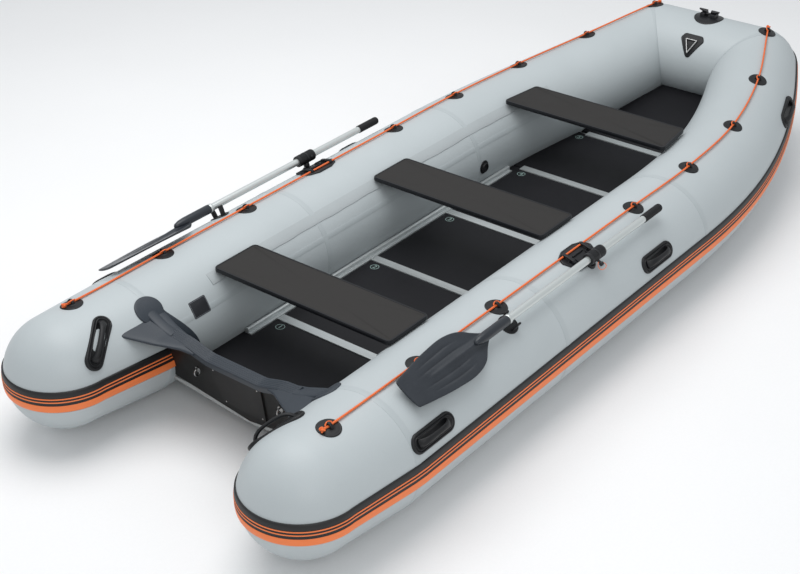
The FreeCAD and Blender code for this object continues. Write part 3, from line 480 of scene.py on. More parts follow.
def striped_rubber(name):
    """Extruded rubber in two colours: the stripe is chosen by the share across the band, and long fine
    streaks and scuffs along it change its colour and gloss a little."""
    material = bpy.data.materials.new(name)
    material.use_nodes = True
    tree = material.node_tree
    shader = tree.nodes["Principled BSDF"]
    place = add_node(tree, "ShaderNodeTexCoord")
    split = add_node(tree, "ShaderNodeSeparateXYZ")
    join(tree, place, "UV", split, "Vector")
    black, orange = (0.0055, 0.005, 0.0055, 1.0), (0.93, 0.22, 0.055, 1.0)
    stripes = add_node(tree, "ShaderNodeValToRGB")
    stripes.color_ramp.interpolation = "CONSTANT"
    stripes.color_ramp.elements[0].position = 0.0
    stripes.color_ramp.elements[0].color = black
    stripes.color_ramp.elements[1].position = 0.279
    stripes.color_ramp.elements[1].color = orange
    for edge, colour in ((0.341, black), (0.419, orange), (0.481, black), (0.615, orange), (0.955, black)):
        stripes.color_ramp.elements.new(edge).color = colour
    join(tree, split, "Y", stripes, "Fac")
    turn = add_node(tree, "ShaderNodeMapping", {"Scale": (6.0, 60.0, 1.0)})
    join(tree, place, "UV", turn, "Vector")
    streak = add_node(tree, "ShaderNodeTexNoise", {"Scale": 3.0, "Detail": 5.0, "Roughness": 0.65})
    join(tree, turn, "Vector", streak, "Vector")
    mixed = add_node(tree, "ShaderNodeMix", data_type="RGBA", blend_type="MULTIPLY")
    tone = add_node(tree, "ShaderNodeValToRGB")
    tone.color_ramp.elements[0].color = (0.86, 0.86, 0.86, 1.0)
    tone.color_ramp.elements[0].position = 0.3
    tone.color_ramp.elements[1].position = 0.7
    mixed.inputs["Factor"].default_value = 1.0
    join(tree, streak, "Fac", tone, "Fac")
    join(tree, stripes, "Color", mixed, 6)
    join(tree, tone, "Color", mixed, 7)
    join(tree, mixed, 2, shader, "Base Color")
    gloss = add_node(tree, "ShaderNodeMapRange", {"To Min": 0.38, "To Max": 0.62})
    join(tree, streak, "Fac", gloss, "Value")
    join(tree, gloss, "Result", shader, "Roughness")
    relief = add_node(tree, "ShaderNodeBump", {"Strength": 0.15, "Distance": 0.0004})
    join(tree, streak, "Fac", relief, "Height")
    join(tree, relief, "Normal", shader, "Normal")
    return material


mesh_piece("rub_strake_band", [ring_shell(strake_rings, uv=strake_uv)], striped_rubber("strake_rubber"), "hull",
           ["rub_strake"], crease=60)


# The bottom: a V shaped skin of heavier grey cloth between the tubes, kept in shape by an air keel,
# with a wear strip glued along the keel.
bottom_fabric = moulded_finish("bottom_fabric", (0.34, 0.355, 0.35), (0.40, 0.415, 0.41), 0.5,
                               grain=300.0, bump=0.3)
wear_rubber = moulded_finish("wear_rubber", (0.016, 0.016, 0.017), (0.03, 0.03, 0.032), 0.6,
                             grain=140.0, bump=0.4)


def finish_nodes(material, *names):
    """The CAD pieces of these names take this finish."""
    for node in names:
        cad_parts[node].material_slots[0].material = material


finish_nodes(bottom_fabric, "v_bottom")
finish_nodes(wear_rubber, "keel_guard")


# The floor: six phenolic faced plywood panels held in T shaped aluminium cross bars, with an aluminium
# stringer clipped over each edge. The panels are near black with a fine non slip grain.
floor_board = moulded_finish("floor_board", (0.005, 0.005, 0.0065), (0.0105, 0.0105, 0.013), 0.55, grain=420.0,
                             bump=0.5, depth=0.0005, patches=3.0, level=0.22)
bar_aluminium = moulded_finish("bar_aluminium", (0.52, 0.555, 0.56), (0.66, 0.69, 0.69), 0.42, grain=220.0,
                               stretch=(1.0, 0.04, 1.0), bump=0.12, metallic=0.75, patches=9.0)
rail_aluminium = moulded_finish("rail_aluminium", (0.54, 0.575, 0.58), (0.68, 0.71, 0.71), 0.40, grain=220.0,
                                stretch=(0.04, 1.0, 1.0), bump=0.12, metallic=0.75, patches=9.0)
finish_nodes(floor_board, "floor_panels")
finish_nodes(bar_aluminium, "floor_bars")
finish_nodes(rail_aluminium, "port_stringer", "starboard_stringer")


# Panel numbers: each of the first five panels carries a small printed number in a ring, by its port
# forward corner, so that the floor goes together in the right order.
number_ink = moulded_finish("number_ink", (0.22, 0.33, 0.31), (0.34, 0.46, 0.43), 0.6, grain=500.0)
bar_x = (1144.0, 1758.0, 2308.0, 2893.0, 3418.0)
number_aft_of_bar = 56.0
number_y = 284.0
number_ring = 19.0
floor_top = 148.0


def circle(radius, count):
    """Points of a circle in the plane, (count, 2)."""
    angle = np.linspace(0, 2 * np.pi, count + 1)[:-1]
    return np.stack([radius * np.cos(angle), radius * np.sin(angle)], -1)


for number, x in enumerate(bar_x, 1):
    section = ((1.2, -0.4), (1.2, 0.4), (-1.2, 0.4), (-1.2, -0.4))
    centre = np.array((x - number_aft_of_bar, number_y, floor_top))
    rings = np.stack([centre + np.concatenate([circle(number_ring + a, 48), np.full((48, 1), b)], -1)
                      for a, b in section])
    mesh_piece("number_ring_%d" % number, [ring_shell(rings, closed=True)], number_ink, "hull")
    letters = bpy.data.curves.new("panel_number_%d" % number, "FONT")
    letters.body = str(number)
    letters.size = 0.034
    letters.extrude = 0.0003
    letters.align_x = letters.align_y = "CENTER"
    made = bpy.data.objects.new("panel_number_source", letters)
    bpy.context.scene.collection.objects.link(made)
    bpy.context.view_layer.update()
    mesh = bpy.data.meshes.new_from_object(made)
    bpy.data.objects.remove(made)
    spot = Vector(centre - (half_length, 0, 0)) / 1000
    mesh.transform(Matrix.Translation(spot) @ Matrix.Rotation(-math.pi / 2, 4, "Z"))
    mesh.name = "panel_number_%d" % number
    mesh.materials.clear()
    mesh.materials.append(number_ink)
    figure = bpy.data.objects.new("panel_number_%d" % number, mesh)
    bpy.context.scene.collection.objects.link(figure)
    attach(figure, "hull")


# The transom: a thick waterproof plywood board with a black coating, a motor clamp plate on each face
# and two steel towing eyes. Four countersunk screws hold the outer plate.
board_finish = moulded_finish("board_finish", (0.004, 0.004, 0.004), (0.009, 0.0085, 0.008), 0.5, grain=160.0,
                              bump=0.3, level=0.2)
clamp_finish = moulded_finish("clamp_finish", (0.011, 0.0105, 0.0105), (0.018, 0.0175, 0.017), 0.58,
                              grain=240.0, bump=0.4, level=0.25)
ring_steel = moulded_finish("ring_steel", (0.30, 0.30, 0.30), (0.48, 0.48, 0.47), 0.3, grain=60.0, metallic=1.0,
                            bump=0.05)
finish_nodes(board_finish, "transom_board")
finish_nodes(clamp_finish, "outer_clamp_plate", "inner_clamp_plate")
finish_nodes(ring_steel, "tow_rings", "bow_ring")
transom_x = 598.0
transom_foot_z = 148.0
lean = math.radians(14.0)
board_half = 15.0
clamp_thick = 8.0


def raked(points):
    """Points of an upright transom leaned aft about the foot of the board."""
    x, y, z = points[..., 0] - transom_x, points[..., 1], points[..., 2] - transom_foot_z
    return np.stack([transom_x + x * math.cos(lean) - z * math.sin(lean), y,
                     transom_foot_z + x * math.sin(lean) + z * math.cos(lean)], -1)


def lathe(foot, way, profile, count=32):
    """Rings of a turned piece: profile gives distances along the axis and radii."""
    way = unit(np.asarray(way, float))
    one = unit(np.cross(way, (0.3, 0.2, 1.0) if abs(way[2]) < 0.9 else (1.0, 0.1, 0.0)))
    two = np.cross(way, one)
    rim = circle(1.0, count)
    profile = np.asarray(profile, float)
    return (np.asarray(foot) + profile[:, None, :1] * way
            + profile[:, None, 1:] * (rim[:, :1] * one + rim[:, 1:] * two))


screws = []
for y, z in ((-112, 312), (112, 312), (-94, 150), (94, 150)):
    head = [(-3, 3.6), (0.1, 3.6), (0.9, 3.0), (1.3, 1.8), (0.7, 1.2), (0.4, 0.5)]
    screws.append(ring_shell(raked(lathe((transom_x - board_half - clamp_thick, y, z), (-1, 0, 0), head, 20))))
mesh_piece("clamp_plate_screws", screws, ring_steel, "hull")


# The transom cap: a ribbed channel of moulded rubber pushed over the top edge of the board, following
# the motor notch and rising to the shoulders on both sides.
cap_rubber = moulded_finish("cap_rubber", (0.019, 0.026, 0.036), (0.034, 0.043, 0.055), 0.45, grain=170.0,
                            bump=0.35, level=0.4)
notch_line = np.array([(-330.0, 386.0), (-240.0, 376.0), (-138.0, 340.0),
                       (138.0, 340.0), (240.0, 376.0), (330.0, 386.0)])
rib_x = np.linspace(-21, 21, 29)
rib_top = 13.0 + 0.7 * np.cos(rib_x * 2 * np.pi / 8.4)
cap_section = np.concatenate([[(-27, -16), (-27, 4), (-26, 9), (-23.5, 12)], np.stack([rib_x, rib_top], -1),
                              [(23.5, 12), (26, 9), (27, 4), (27, -16)]])


def softened(values, width):
    """A row of values with its corners rounded by a sliding mean."""
    edge = np.pad(values, width, mode="reflect", reflect_type="odd")
    return np.convolve(edge, np.ones(2 * width + 1) / (2 * width + 1), "valid")


cap_y = np.linspace(-322, 322, 190)
cap_z = softened(np.interp(cap_y, notch_line[:, 0], notch_line[:, 1]), 4)
cap_tilt_y = np.gradient(cap_z, cap_y)
cap_up = unit(np.stack([0 * cap_y, -cap_tilt_y, 1 + 0 * cap_y], -1))
cap_line = np.stack([np.full_like(cap_y, transom_x), cap_y, cap_z], -1)
cap_rings = (cap_line[:, None] + cap_section[None, :, :1] * (1, 0, 0)
             + cap_section[None, :, 1:] * cap_up[:, None])
mesh_piece("transom_cap_moulding", [ring_shell(raked(cap_rings))], cap_rubber, "hull", ["transom_cap"])


# The transom wings: moulded rubber corner pieces that carry the board's load into the tubes. Each is a
# fan that sweeps from the cap out to the tube, ending in a round pad, with a flange down the inner side
# of the tube.
wing_mid = transom_x - math.tan(lean) * 228.0
wing_inner_y = 190.0
wing_outer_y = 446.0


def fan_rings(rows=40, count=56):
    """Rings across the fan from the cap to the tube: a flat rounded section whose aft edge runs out to
    a point, lifted to the tube in a soft curve and slightly dished along its middle."""
    s, angle = np.meshgrid(np.linspace(0, 1, rows), np.linspace(0, 2 * np.pi, count + 1)[:-1], indexing="ij")
    aft = wing_mid - 27 - 150 * s ** 1.15
    fore = wing_mid + 27 + 32 * s ** 1.2
    middle, half = (aft + fore) / 2, (fore - aft) / 2
    thick = 8 + 2.5 * s
    across = np.sign(np.cos(angle)) * np.abs(np.cos(angle)) ** 0.55
    high = np.sign(np.sin(angle)) * np.abs(np.sin(angle)) ** 0.75
    y = wing_inner_y + (wing_outer_y - wing_inner_y) * s
    top = np.interp(y, (190, 240, 330, 446), (356, 375, 391, 426))
    dish = -5 * s * (1 - across ** 2) + 3 * across * s
    return np.stack([middle + half * across, y, top - thick + thick * high + dish], -1)


def ridge_rings(rows=24, count=32):
    """Rings of the ridge that carries the cap's line on up to the pad: a flattened bar that narrows as
    it climbs."""
    s = np.linspace(0, 1, rows)
    start = raked(np.array((transom_x, 310.0, 384.0)))
    climb = np.stack([0 * s, 146 * s, 22 * s + 38 * s ** 2], -1)
    path = start + s[:, None] * (wing_mid + 2 - start[0], 0, 0) + climb
    up = unit(np.cross((1.0, 0, 0), np.gradient(path, axis=0)))
    rim = circle(1.0, count)
    rim = np.sign(rim) * np.abs(rim) ** 0.7
    wide, high = (27 - 5 * s)[:, None, None], (13 - 5 * s)[:, None, None]
    return path[:, None] + wide * rim[None, :, :1] * (1.0, 0, 0) + high * rim[None, :, 1:] * up[:, None]


def drape(flat, foot, way, normal, radius):
    """A flat shape laid on a tube: its first measure runs along, its second round and its third above
    the skin."""
    u, v, h = flat[..., :1], flat[..., 1:2] / radius, flat[..., 2:]
    return (foot + u * way + (radius + h) * np.sin(v) * np.cross(way, normal)
            + ((radius + h) * np.cos(v) - radius) * normal)


def tube_foot(x, angle):
    """Foot point, forward way, normal and radius on the port tube, the angle measured outboard from the
    crown."""
    centre, way, out, up, radius = (value[0] for value in tube_frames(np.array([float(x)])))
    a = math.radians(angle)
    normal = out * math.sin(a) + up * math.cos(a)
    return centre + normal * radius, way, normal, float(radius)


def moulding(outline, layers, fill=5):
    """Rings of a moulded plate: the outline stepped inwards along its own normal by each inset, at each
    height, then the last ring drawn in towards its middle in equal steps, so that the plate bends with
    the skin under it."""
    way = unit(np.roll(outline, -1, 0) - np.roll(outline, 1, 0))
    inward = np.stack([-way[:, 1], way[:, 0]], -1)
    rings = [np.concatenate([outline + inward * inset, np.full((len(outline), 1), high)], -1)
             for inset, high in layers]
    middle = rings[-1].mean(0)
    drawn_in = np.linspace(1, 0, fill + 2)[1:-1]
    return np.stack(rings + [middle + (rings[-1] - middle) * share for share in drawn_in])


def laid_plate(outline, layers, place, **filling):
    """The closed surface of a moulded plate laid on a tube."""
    return ring_shell(drape(moulding(outline, layers, **filling), *place), closed="fill" in filling)


pad_layers = [(0, -4), (0, 3), (1.2, 4.6), (3, 5.2), (8, 5.4), (12, 5.4)]
pad = laid_plate(circle(60, 64), pad_layers, tube_foot(wing_mid + 4, -40))


def flange_rings(rows=40):
    """Rings down the inner side of the tube: a sheet that thins forward from a fillet against the
    board."""
    share = np.linspace(0, 1, rows)
    angle = np.radians(180 - 90 + 46 + 55 * share)
    z = tube_z + tube_radius * np.sin(angle)
    back = transom_x + board_half - math.tan(lean) * (z - transom_foot_z) - 6
    fore = wing_mid + 60 + 112 * np.sin(share * np.pi / 2) ** 1.3
    length = (fore - back)[:, None]
    u = np.array([0, 0, 0.08, 0.18, 0.3, 0.5, 0.75, 0.95, 1.0, 1.0])
    h = np.array([-4, 26, 18, 11, 7.5, 5.2, 4.2, 3.6, 2.4, -4]) * np.clip(share * 6, 0.12, 1)[:, None]
    return tube_skin(back[:, None] + length * u, angle[:, None] + 0 * u, h)


wing = [ring_shell(fan_rings()), ring_shell(ridge_rings()), pad, ring_shell(flange_rings())]
both_sides("wing_moulding", wing, cap_rubber, ["transom_wing"])


# The seats: three boards of coated plywood across the tubes, each with a black rubber edging pressed
# round it. They slide fore and aft on strips glued along the inner shoulders of the tubes.
seat_finish = moulded_finish("seat_finish", (0.018, 0.0165, 0.0155), (0.027, 0.025, 0.0235), 0.6, grain=330.0,
                             bump=0.35, patches=5.0, level=0.25)
edging_rubber = moulded_finish("edging_rubber", (0.004, 0.0045, 0.006), (0.009, 0.010, 0.013), 0.42,
                               grain=120.0, bump=0.2, level=0.3)
seat_thick = 19.0
seat_round = 20.0


def rounded_frame(corners, radius, steps=10):
    """Outline of a convex shape from its corner points, anticlockwise, each corner rounded by a tangent
    arc, with more points added along the straight sides so that they can bend over a tube."""
    corners = np.asarray(corners, float)
    before = unit(np.roll(corners, 1, 0) - corners)
    after = unit(np.roll(corners, -1, 0) - corners)
    half = np.arccos(np.clip(np.sum(before * after, -1), -1, 1)) / 2
    middle = corners + unit(before + after) * (radius / np.sin(half))[:, None]
    start = corners + before * (radius / np.tan(half))[:, None] - middle
    sweep = np.linspace(0, 1, steps)[None] * (np.pi - 2 * half)[:, None]
    x = middle[:, None, 0] + start[:, None, 0] * np.cos(sweep) - start[:, None, 1] * np.sin(sweep)
    y = middle[:, None, 1] + start[:, None, 0] * np.sin(sweep) + start[:, None, 1] * np.cos(sweep)
    ring = np.stack([x, y], -1).reshape(-1, 2)
    ring = np.concatenate([ring, ring[:1]])
    along = np.append(0, np.cumsum(np.linalg.norm(np.diff(ring, axis=0), axis=-1)))
    marks = np.unique(np.round(np.concatenate([along[:-1], np.linspace(0, along[-1], 73)[:-1]]), 1))
    return np.stack([np.interp(marks, along, ring[:, k]) for k in range(2)], -1)


for place, half_aft, half_fore in (("aft", 449.0, 449.0), ("middle", 449.0, 449.0), ("front", 443.0, 416.0)):
    node, body = place + "_seat", place + "_thwart"
    low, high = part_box(node)
    x0, x1 = low.x * 1000 + half_length, high.x * 1000 + half_length
    z0, z1 = low.z * 1000, high.z * 1000
    outline = rounded_frame([(x0, -half_aft), (x1, -half_fore), (x1, half_fore), (x0, half_aft)], seat_round)
    slab = moulding(outline, [(5, z0 + 0.8), (4, z0 + 1.2), (4, z1 - 1.4), (5.2, z1 - 0.8), (16, z1 - 0.7)])
    mesh_piece(node + "_board", [ring_shell(slab)], seat_finish, body, [node])
    nose = moulding(outline, [(9, z0 + 0.6), (9, z0), (2, z0), (0.5, z0 + 3), (0, z0 + seat_thick / 2),
                              (0.5, z1 - 3), (2, z1), (8.5, z1), (9, z1 - 0.6)], fill=0)
    mesh_piece(node + "_edging", [ring_shell(nose, closed=True)], edging_rubber, body,
               crease=50)
strip_low, strip_high = math.radians(127), math.radians(139)


def strip_rings(rows=220):
    """Rings along the strip: a soft ridge, steeper on its lower edge, whose edges wander by a
    millimetre or two."""
    x = np.linspace(860.0, 3260.0, rows)
    wander = np.radians(0.28) * np.sin(x / 61) + np.radians(0.2) * np.sin(x / 23 + 1)
    share = np.array([0, 0.02, 0.25, 0.6, 0.85, 0.97, 1.0, 1.0])
    high = np.array([-1.5, 0.3, 1.4, 2.5, 3.0, 2.4, 0.6, -1.5])
    angle = strip_low + (strip_high - strip_low) * share[None] + wander[:, None] * share[None]
    return tube_skin(x[:, None] + 0 * angle, angle, np.broadcast_to(high, angle.shape))


strip_fabric = coated_fabric("strip_fabric", (0.37, 0.40, 0.41), (0.43, 0.465, 0.475), 0.48)
both_sides("slide_strip", [ring_shell(strip_rings())], strip_fabric, ["seat_strip"])


# The grab line's eyes: round patches of black rubber glued to the tube, each moulded with a raised ring
# for the line.
black_rubber = moulded_finish("black_rubber", (0.0045, 0.0048, 0.0056), (0.010, 0.0106, 0.0122), 0.45,
                              grain=150.0, bump=0.3, level=0.35)
eye_x = (336.0, 815.0, 1297.0, 2293.0, 2767.0, 3264.0, 3742.0)
eye_angles = (9.0, 9.0, 9.0, 9.0, 9.7, 13.0, 16.0)
eye_feet = [tube_foot(x, a) for x, a in zip(eye_x, eye_angles)]
corner_way = unit(bow_forward + corner_out)
corner_normal = corner_way * math.sin(math.radians(24)) + bow_up * math.cos(math.radians(24))
corner_foot = corner_axis + corner_way * corner_radius + corner_normal * bow_radius
corner_run = corner_foot - eye_feet[-1][0]
corner_run = unit(corner_run - corner_normal * corner_run.dot(corner_normal))
eye_feet.append((corner_foot, corner_run, corner_normal, bow_radius))
eye_layers = [(0, -4), (0, 1.6), (1.0, 2.8), (2.5, 3.4), (5, 3.6), (7, 3.0), (9, 3.4), (14, 3.6), (20, 3.7),
              (26, 4.4), (28, 5.6), (31, 6.4), (38, 6.6)]
hoop_lift, hoop_radius, hoop_thick = 6.0, 13.0, 4.6


def eye_hoop(foot, way, normal, radius):
    """Rings of a flat bar bent in a half hoop over the line, its feet in the patch."""
    side = np.cross(way, normal)
    turn = np.linspace(-0.5, math.pi + 0.5, 26)
    out = np.cos(turn)[:, None] * side + np.sin(turn)[:, None] * normal
    rim = circle(hoop_thick, 14)
    hub = foot + normal * hoop_lift + hoop_radius * out
    return hub[:, None] + rim[None, :, :1] * out[:, None] + rim[None, :, 1:] * 1.5 * way


port_eyes = sum([[laid_plate(circle(45, 56), eye_layers, place), ring_shell(eye_hoop(*place))]
                 for place in eye_feet], [])
both_sides("eye_mouldings", port_eyes, black_rubber, ["rope_eyes"])


# The grab lines: one length of orange braided polyester a side, threaded through the eyes from the
# stern cone to the bow, taken round each eye with a turn and stopped with a knot at both ends.
def braid_finish(name):
    """Braided line: small diamonds where the strands cross, with painted highlight on their crowns and painted
    shade between them, and a dull polyester gloss."""
    material = moulded_finish(name, (0.80, 0.135, 0.028), (0.95, 0.20, 0.045), 0.62, grain=600.0, bump=0.6,
                              depth=0.0006, patches=7.0)
    tree = material.node_tree
    place = tree.nodes["Texture Coordinate"]
    turn = add_node(tree, "ShaderNodeMapping", {"Scale": (160.0, 240.0, 1.0),
                                                "Rotation": (0, 0, math.radians(45))})
    join(tree, place, "UV", turn, "Vector")
    # Painted shade: the checker darkens alternate diamonds of the braid so that the strands' crowns stand
    # lighter as painted highlight.
    painted_strand_shade = add_node(tree, "ShaderNodeTexChecker", {"Scale": 1.0, "Color1": (0.62, 0.62, 0.62, 1),
                                                    "Color2": (1, 1, 1, 1)})
    join(tree, turn, "Vector", painted_strand_shade, "Vector")
    mixed = add_node(tree, "ShaderNodeMix", data_type="RGBA", blend_type="MULTIPLY")
    mixed.inputs["Factor"].default_value = 0.6
    join(tree, tree.nodes["Color Ramp"], "Color", mixed, 6)
    join(tree, painted_strand_shade, "Color", mixed, 7)
    tree.links.new(mixed.outputs[2], tree.nodes["Principled BSDF"].inputs["Base Color"])
    return material


line_finish = braid_finish("line_finish")
rope_radius = 4.0
line_height = 9.0


def smooth_through(marks, points, at):
    """Cubic curve through points at increasing marks, its slope at each the mean of the slopes on both
    sides."""
    steps = np.diff(points, axis=0) / np.diff(marks)[:, None]
    slopes = np.concatenate([steps[:1], (steps[1:] + steps[:-1]) / 2, steps[-1:]])
    i = np.clip(np.searchsorted(marks, at, "right") - 1, 0, len(marks) - 2)
    width = (marks[i + 1] - marks[i])
    t = ((at - marks[i]) / width)[:, None]
    width = width[:, None]
    return ((1 + 2 * t) * (1 - t) ** 2 * points[i] + t * (1 - t) ** 2 * width * slopes[i]
            + t ** 2 * (3 - 2 * t) * points[i + 1] + t ** 2 * (t - 1) * width * slopes[i + 1])


def braided(path, normal, count=16, lay=11.0):
    """Rings along a path: a round section whose radius rises and falls where eight strands cross in a
    braid."""
    way = unit(np.gradient(path, axis=0))
    side = unit(np.cross(way, normal))
    up = np.cross(side, way)
    along = np.append(0, np.cumsum(np.linalg.norm(np.diff(path, axis=0), axis=-1)))[:, None]
    angle = np.linspace(0, 2 * np.pi, count + 1)[None, :-1]
    twist = 2 * np.pi * along / lay
    swell = rope_radius * (1 + 0.09 * np.sin(4 * angle + twist) * np.sin(4 * angle - twist))
    return path[:, None] + swell[..., None] * (np.cos(angle)[..., None] * side[:, None]
                                               + np.sin(angle)[..., None] * up[:, None])


eye_points = np.array([foot + normal * line_height for foot, way, normal, radius in eye_feet])
eye_normals = np.array([place[2] for place in eye_feet])
tail = 34.5
line_points = np.concatenate([[eye_points[0] - eye_feet[0][1] * tail + eye_normals[0] * 3], eye_points,
                              [eye_points[-1] + eye_feet[-1][1] * tail + eye_normals[-1] * 3]])
line_normals = np.concatenate([eye_normals[:1], eye_normals, eye_normals[-1:]])
line_marks = np.append(0, np.cumsum(np.linalg.norm(np.diff(line_points, axis=0), axis=-1)))
line_at = np.arange(0, line_marks[-1], 2.8)
line_path = smooth_through(line_marks, line_points, line_at)
line_up = unit(np.stack([np.interp(line_at, line_marks, line_normals[:, k]) for k in range(3)], -1))


def closed_line(middle, radius, count, across=None):
    """Rings of a round line along a closed path, its section set square to the path by the direction
    across or, without one, by the way out from the path's middle."""
    run = unit(np.roll(middle, -1, 0) - np.roll(middle, 1, 0))
    out = unit(middle - middle.mean(0) if across is None else np.cross(run, across))
    rim = circle(radius, count)
    return middle[:, None] + rim[None, :, :1] * out[:, None] + rim[None, :, 1:] * np.cross(run, out)[:, None]


def knot(centre, way, normal):
    """A stopper knot: the line laid in a trefoil about the run, drawn up tight."""
    side = np.cross(way, normal)
    t = np.linspace(0, 2 * np.pi, 121)[:-1, None]
    size = 2.9
    x, y, z = np.sin(t) + 2 * np.sin(2 * t), np.cos(t) - 2 * np.cos(2 * t), -np.sin(3 * t)
    return closed_line(centre + size * (x * side + y * normal * 0.8 + 1.6 * z * way), 3.4, 12, way)


def eye_turn(centre, way, normal):
    """The turn that the line takes round an eye's ring: an oval loop leaning along the run."""
    side = np.cross(way, normal)
    t = np.linspace(0, 2 * np.pi, 61)[:-1, None]
    middle = centre + 15 * np.cos(t) * way + (6 * np.sin(t) + 3) * side + (5 * np.sin(t) + 5) * normal
    return closed_line(middle, 3.2, 12)


port_line = [ring_shell(braided(line_path, line_up)),
             ring_shell(knot(line_points[0], eye_feet[0][1], eye_normals[0]), closed=True),
             ring_shell(knot(line_points[-1], eye_feet[-1][1], eye_normals[-1]), closed=True)]
port_line += [ring_shell(eye_turn(p, f[1], f[2]), closed=True) for p, f in zip(eye_points, eye_feet)]
both_sides("line", port_line, line_finish, ["grab_line"], crease=80)


# The carry handles: black rubber mouldings glued to the tubes, an oval dish with raised ridges and a
# grip that bridges it from end to end. Three a side outside, and one inside each stern cone.
handle_half = 78.0
handle_reach = 38.0


def stadium(half, radius, steps=20):
    """Outline of a long shape with round ends, anticlockwise."""
    a = np.linspace(-np.pi / 2, np.pi / 2, steps)
    right = np.stack([half + radius * np.cos(a), radius * np.sin(a)], -1)
    return np.concatenate([right, -right])


dish_layers = [(0, -5), (0, 3), (1.5, 6.5), (4, 8.5), (6.5, 9), (8.5, 8.2), (9.5, 6), (11, 5.2), (12.5, 6.5),
               (14, 9.2), (16, 9.6), (17.5, 8.5), (19, 5), (21, 3.2), (26, 2.6), (32, 2.5)]


def grip_rings(rows=44, count=24):
    """Rings of the grip: a flattened round bar that climbs from one end of the dish, runs level and
    comes down."""
    s = np.linspace(-1, 1, rows)
    u = s * (handle_half + 2)
    high = 4 + 25 * (1 - np.abs(s) ** 4) ** 0.8
    middle = np.stack([u, 0 * u, high], -1)
    run = unit(np.gradient(middle, axis=0))
    up = np.stack([-run[:, 2], 0 * u, run[:, 0]], -1)
    wide = 9.5 + 6 * np.abs(s) ** 3
    rim = circle(1.0, count)
    return (middle[:, None] + wide[:, None, None] * rim[None, :, :1] * (0, 1, 0)
            + 6.5 * rim[None, :, 1:] * up[:, None])


flat_dish = moulding(stadium(handle_half, handle_reach), dish_layers)
port_handles = []
for x, from_crown in ((666.0, 63.0), (2195.0, 63.0), (3690.0, 68.0)):
    port_handles += [ring_shell(drape(flat, *tube_foot(x, from_crown))) for flat in (flat_dish, grip_rings())]
both_sides("handle_mouldings", port_handles, black_rubber, ["carry_handles"])
stern_handle_x = 298.0
cone_centre, _, _, _, cone_radius = (v[0] for v in tube_frames(np.array([stern_handle_x])))
a = math.radians(-45)
stern_normal = unit(np.array((-0.06, math.sin(a), math.cos(a))))
stern_foot = cone_centre + stern_normal * (cone_radius + 1)
stern_way = np.array((169.0, 0, 0)) - 153 * np.array((0, -math.cos(a), math.sin(a)))
stern_way = unit(stern_way - stern_normal * stern_way.dot(stern_normal))


def lay_on_cone(flat):
    """A flat shape set on the cone askew: it is bent round the tube's own axis, so only its cross part
    is curved."""
    side = np.cross(stern_way, stern_normal)
    rough = flat[..., :1] * stern_way + flat[..., 1:2] * side
    round_way = np.cross((1.0, 0, 0), stern_normal)
    v = rough @ round_way
    angle = v / cone_radius
    lift = flat[..., 2] + cone_radius
    base = stern_foot - stern_normal * cone_radius
    along = rough @ np.array((1.0, 0, 0))
    return (base + along[..., None] * (1.0, 0, 0) + (lift * np.sin(angle))[..., None] * round_way
            + (lift * np.cos(angle))[..., None] * stern_normal)


stern = [ring_shell(lay_on_cone(flat_dish)), ring_shell(lay_on_cone(grip_rings()))]
mesh_piece("stern_handle_mouldings", stern + [mirrored(s) for s in stern], black_rubber, "hull",
           ["stern_handles"])


# The oarlocks: a moulded base glued on each tube with two cheeks that the grab line passes through, and
# a ribbed collar clamped on the oar's shaft, turning on the base's stud and locked with a knob on a
# short orange keeper.
oarlock_plastic = moulded_finish("oarlock_plastic", (0.006, 0.0063, 0.0078), (0.013, 0.0136, 0.016), 0.42,
                                 grain=190.0, bump=0.25, level=0.4)
oarlock_x = 1825.0
port_shift = -42.0
pin_tilt = math.radians(18)
pin_way = np.array((0, math.sin(pin_tilt), math.cos(pin_tilt)))
oar_angle = math.radians(28.0)
oar_reach = tube_radius + 50.0
oar_centre = np.array((oarlock_x, tube_centre_y + oar_reach * math.sin(oar_angle),
                       tube_z + oar_reach * math.cos(oar_angle)))
# A bowed inboard edge and a shorter outboard one, joined by slanted ends
base_outline = rounded_frame([(-70, -58), (70, -58), (104, 8), (86, 42), (40, 60), (-40, 60), (-86, 42),
                              (-104, 8)], 12.0, 8)
base_place = tube_foot(oarlock_x - 5, 16.0)
base_layers = [(0, -5), (0, 2), (1, 5), (3, 6.6), (5, 7.2), (7, 6.8), (8.5, 5.2), (12, 5.0)]


def rounded_box(u, v, half_u, half_v, corner, steps=6):
    """Outline of a rectangle about a middle point, its corners rounded."""
    return rounded_frame([(u - half_u, v - half_v), (u + half_u, v - half_v), (u + half_u, v + half_v),
                          (u - half_u, v + half_v)], corner, steps)


def block(place, u, v, half_u, half_v, low, high, soft=3.0, corner=4.0):
    """A soft edged block standing on the skin, in flat measures."""
    layers = [(0, low), (0, high - soft), (soft * 0.3, high - soft * 0.3), (soft, high)]
    return laid_plate(rounded_box(u, v, half_u, half_v, corner), layers, place)


# The pocket's frame: outer wall, rounded rim and inner wall
pocket_layers = [(0, 2), (0, 8.5), (1.2, 10), (3.8, 10), (5, 8.5), (5, 2)]
base_shells = [laid_plate(base_outline, base_layers, base_place)]
for u in (-62.0, 62.0):
    base_shells.append(laid_plate(rounded_box(u, -24.0, 25.0, 24.0, 9.0, 8), pocket_layers, base_place, fill=0))
    base_shells.append(block(base_place, u, 8.0, 8.0, 26.0, 12.0, 19.0))
    base_shells += [block(base_place, u, v, 8.0, 7.0, 2.0, 16.0) for v in (-16.0, 33.0)]
base_shells.append(block(base_place, 0.0, 6.0, 38.0, 3.5, 2.0, 13.0))
stud_profile = [(0, 21), (10, 21), (13, 19.5), (14.5, 16), (15, 8), (27, 8), (28, 7)]
base_shells.append(ring_shell(lathe(oar_centre - pin_way * 56, pin_way, stud_profile, 36)))


def set_aft(shell):
    """The port oar and its fittings sit a little further aft than the starboard ones."""
    return (shell[0] + (port_shift, 0, 0),) + shell[1:]


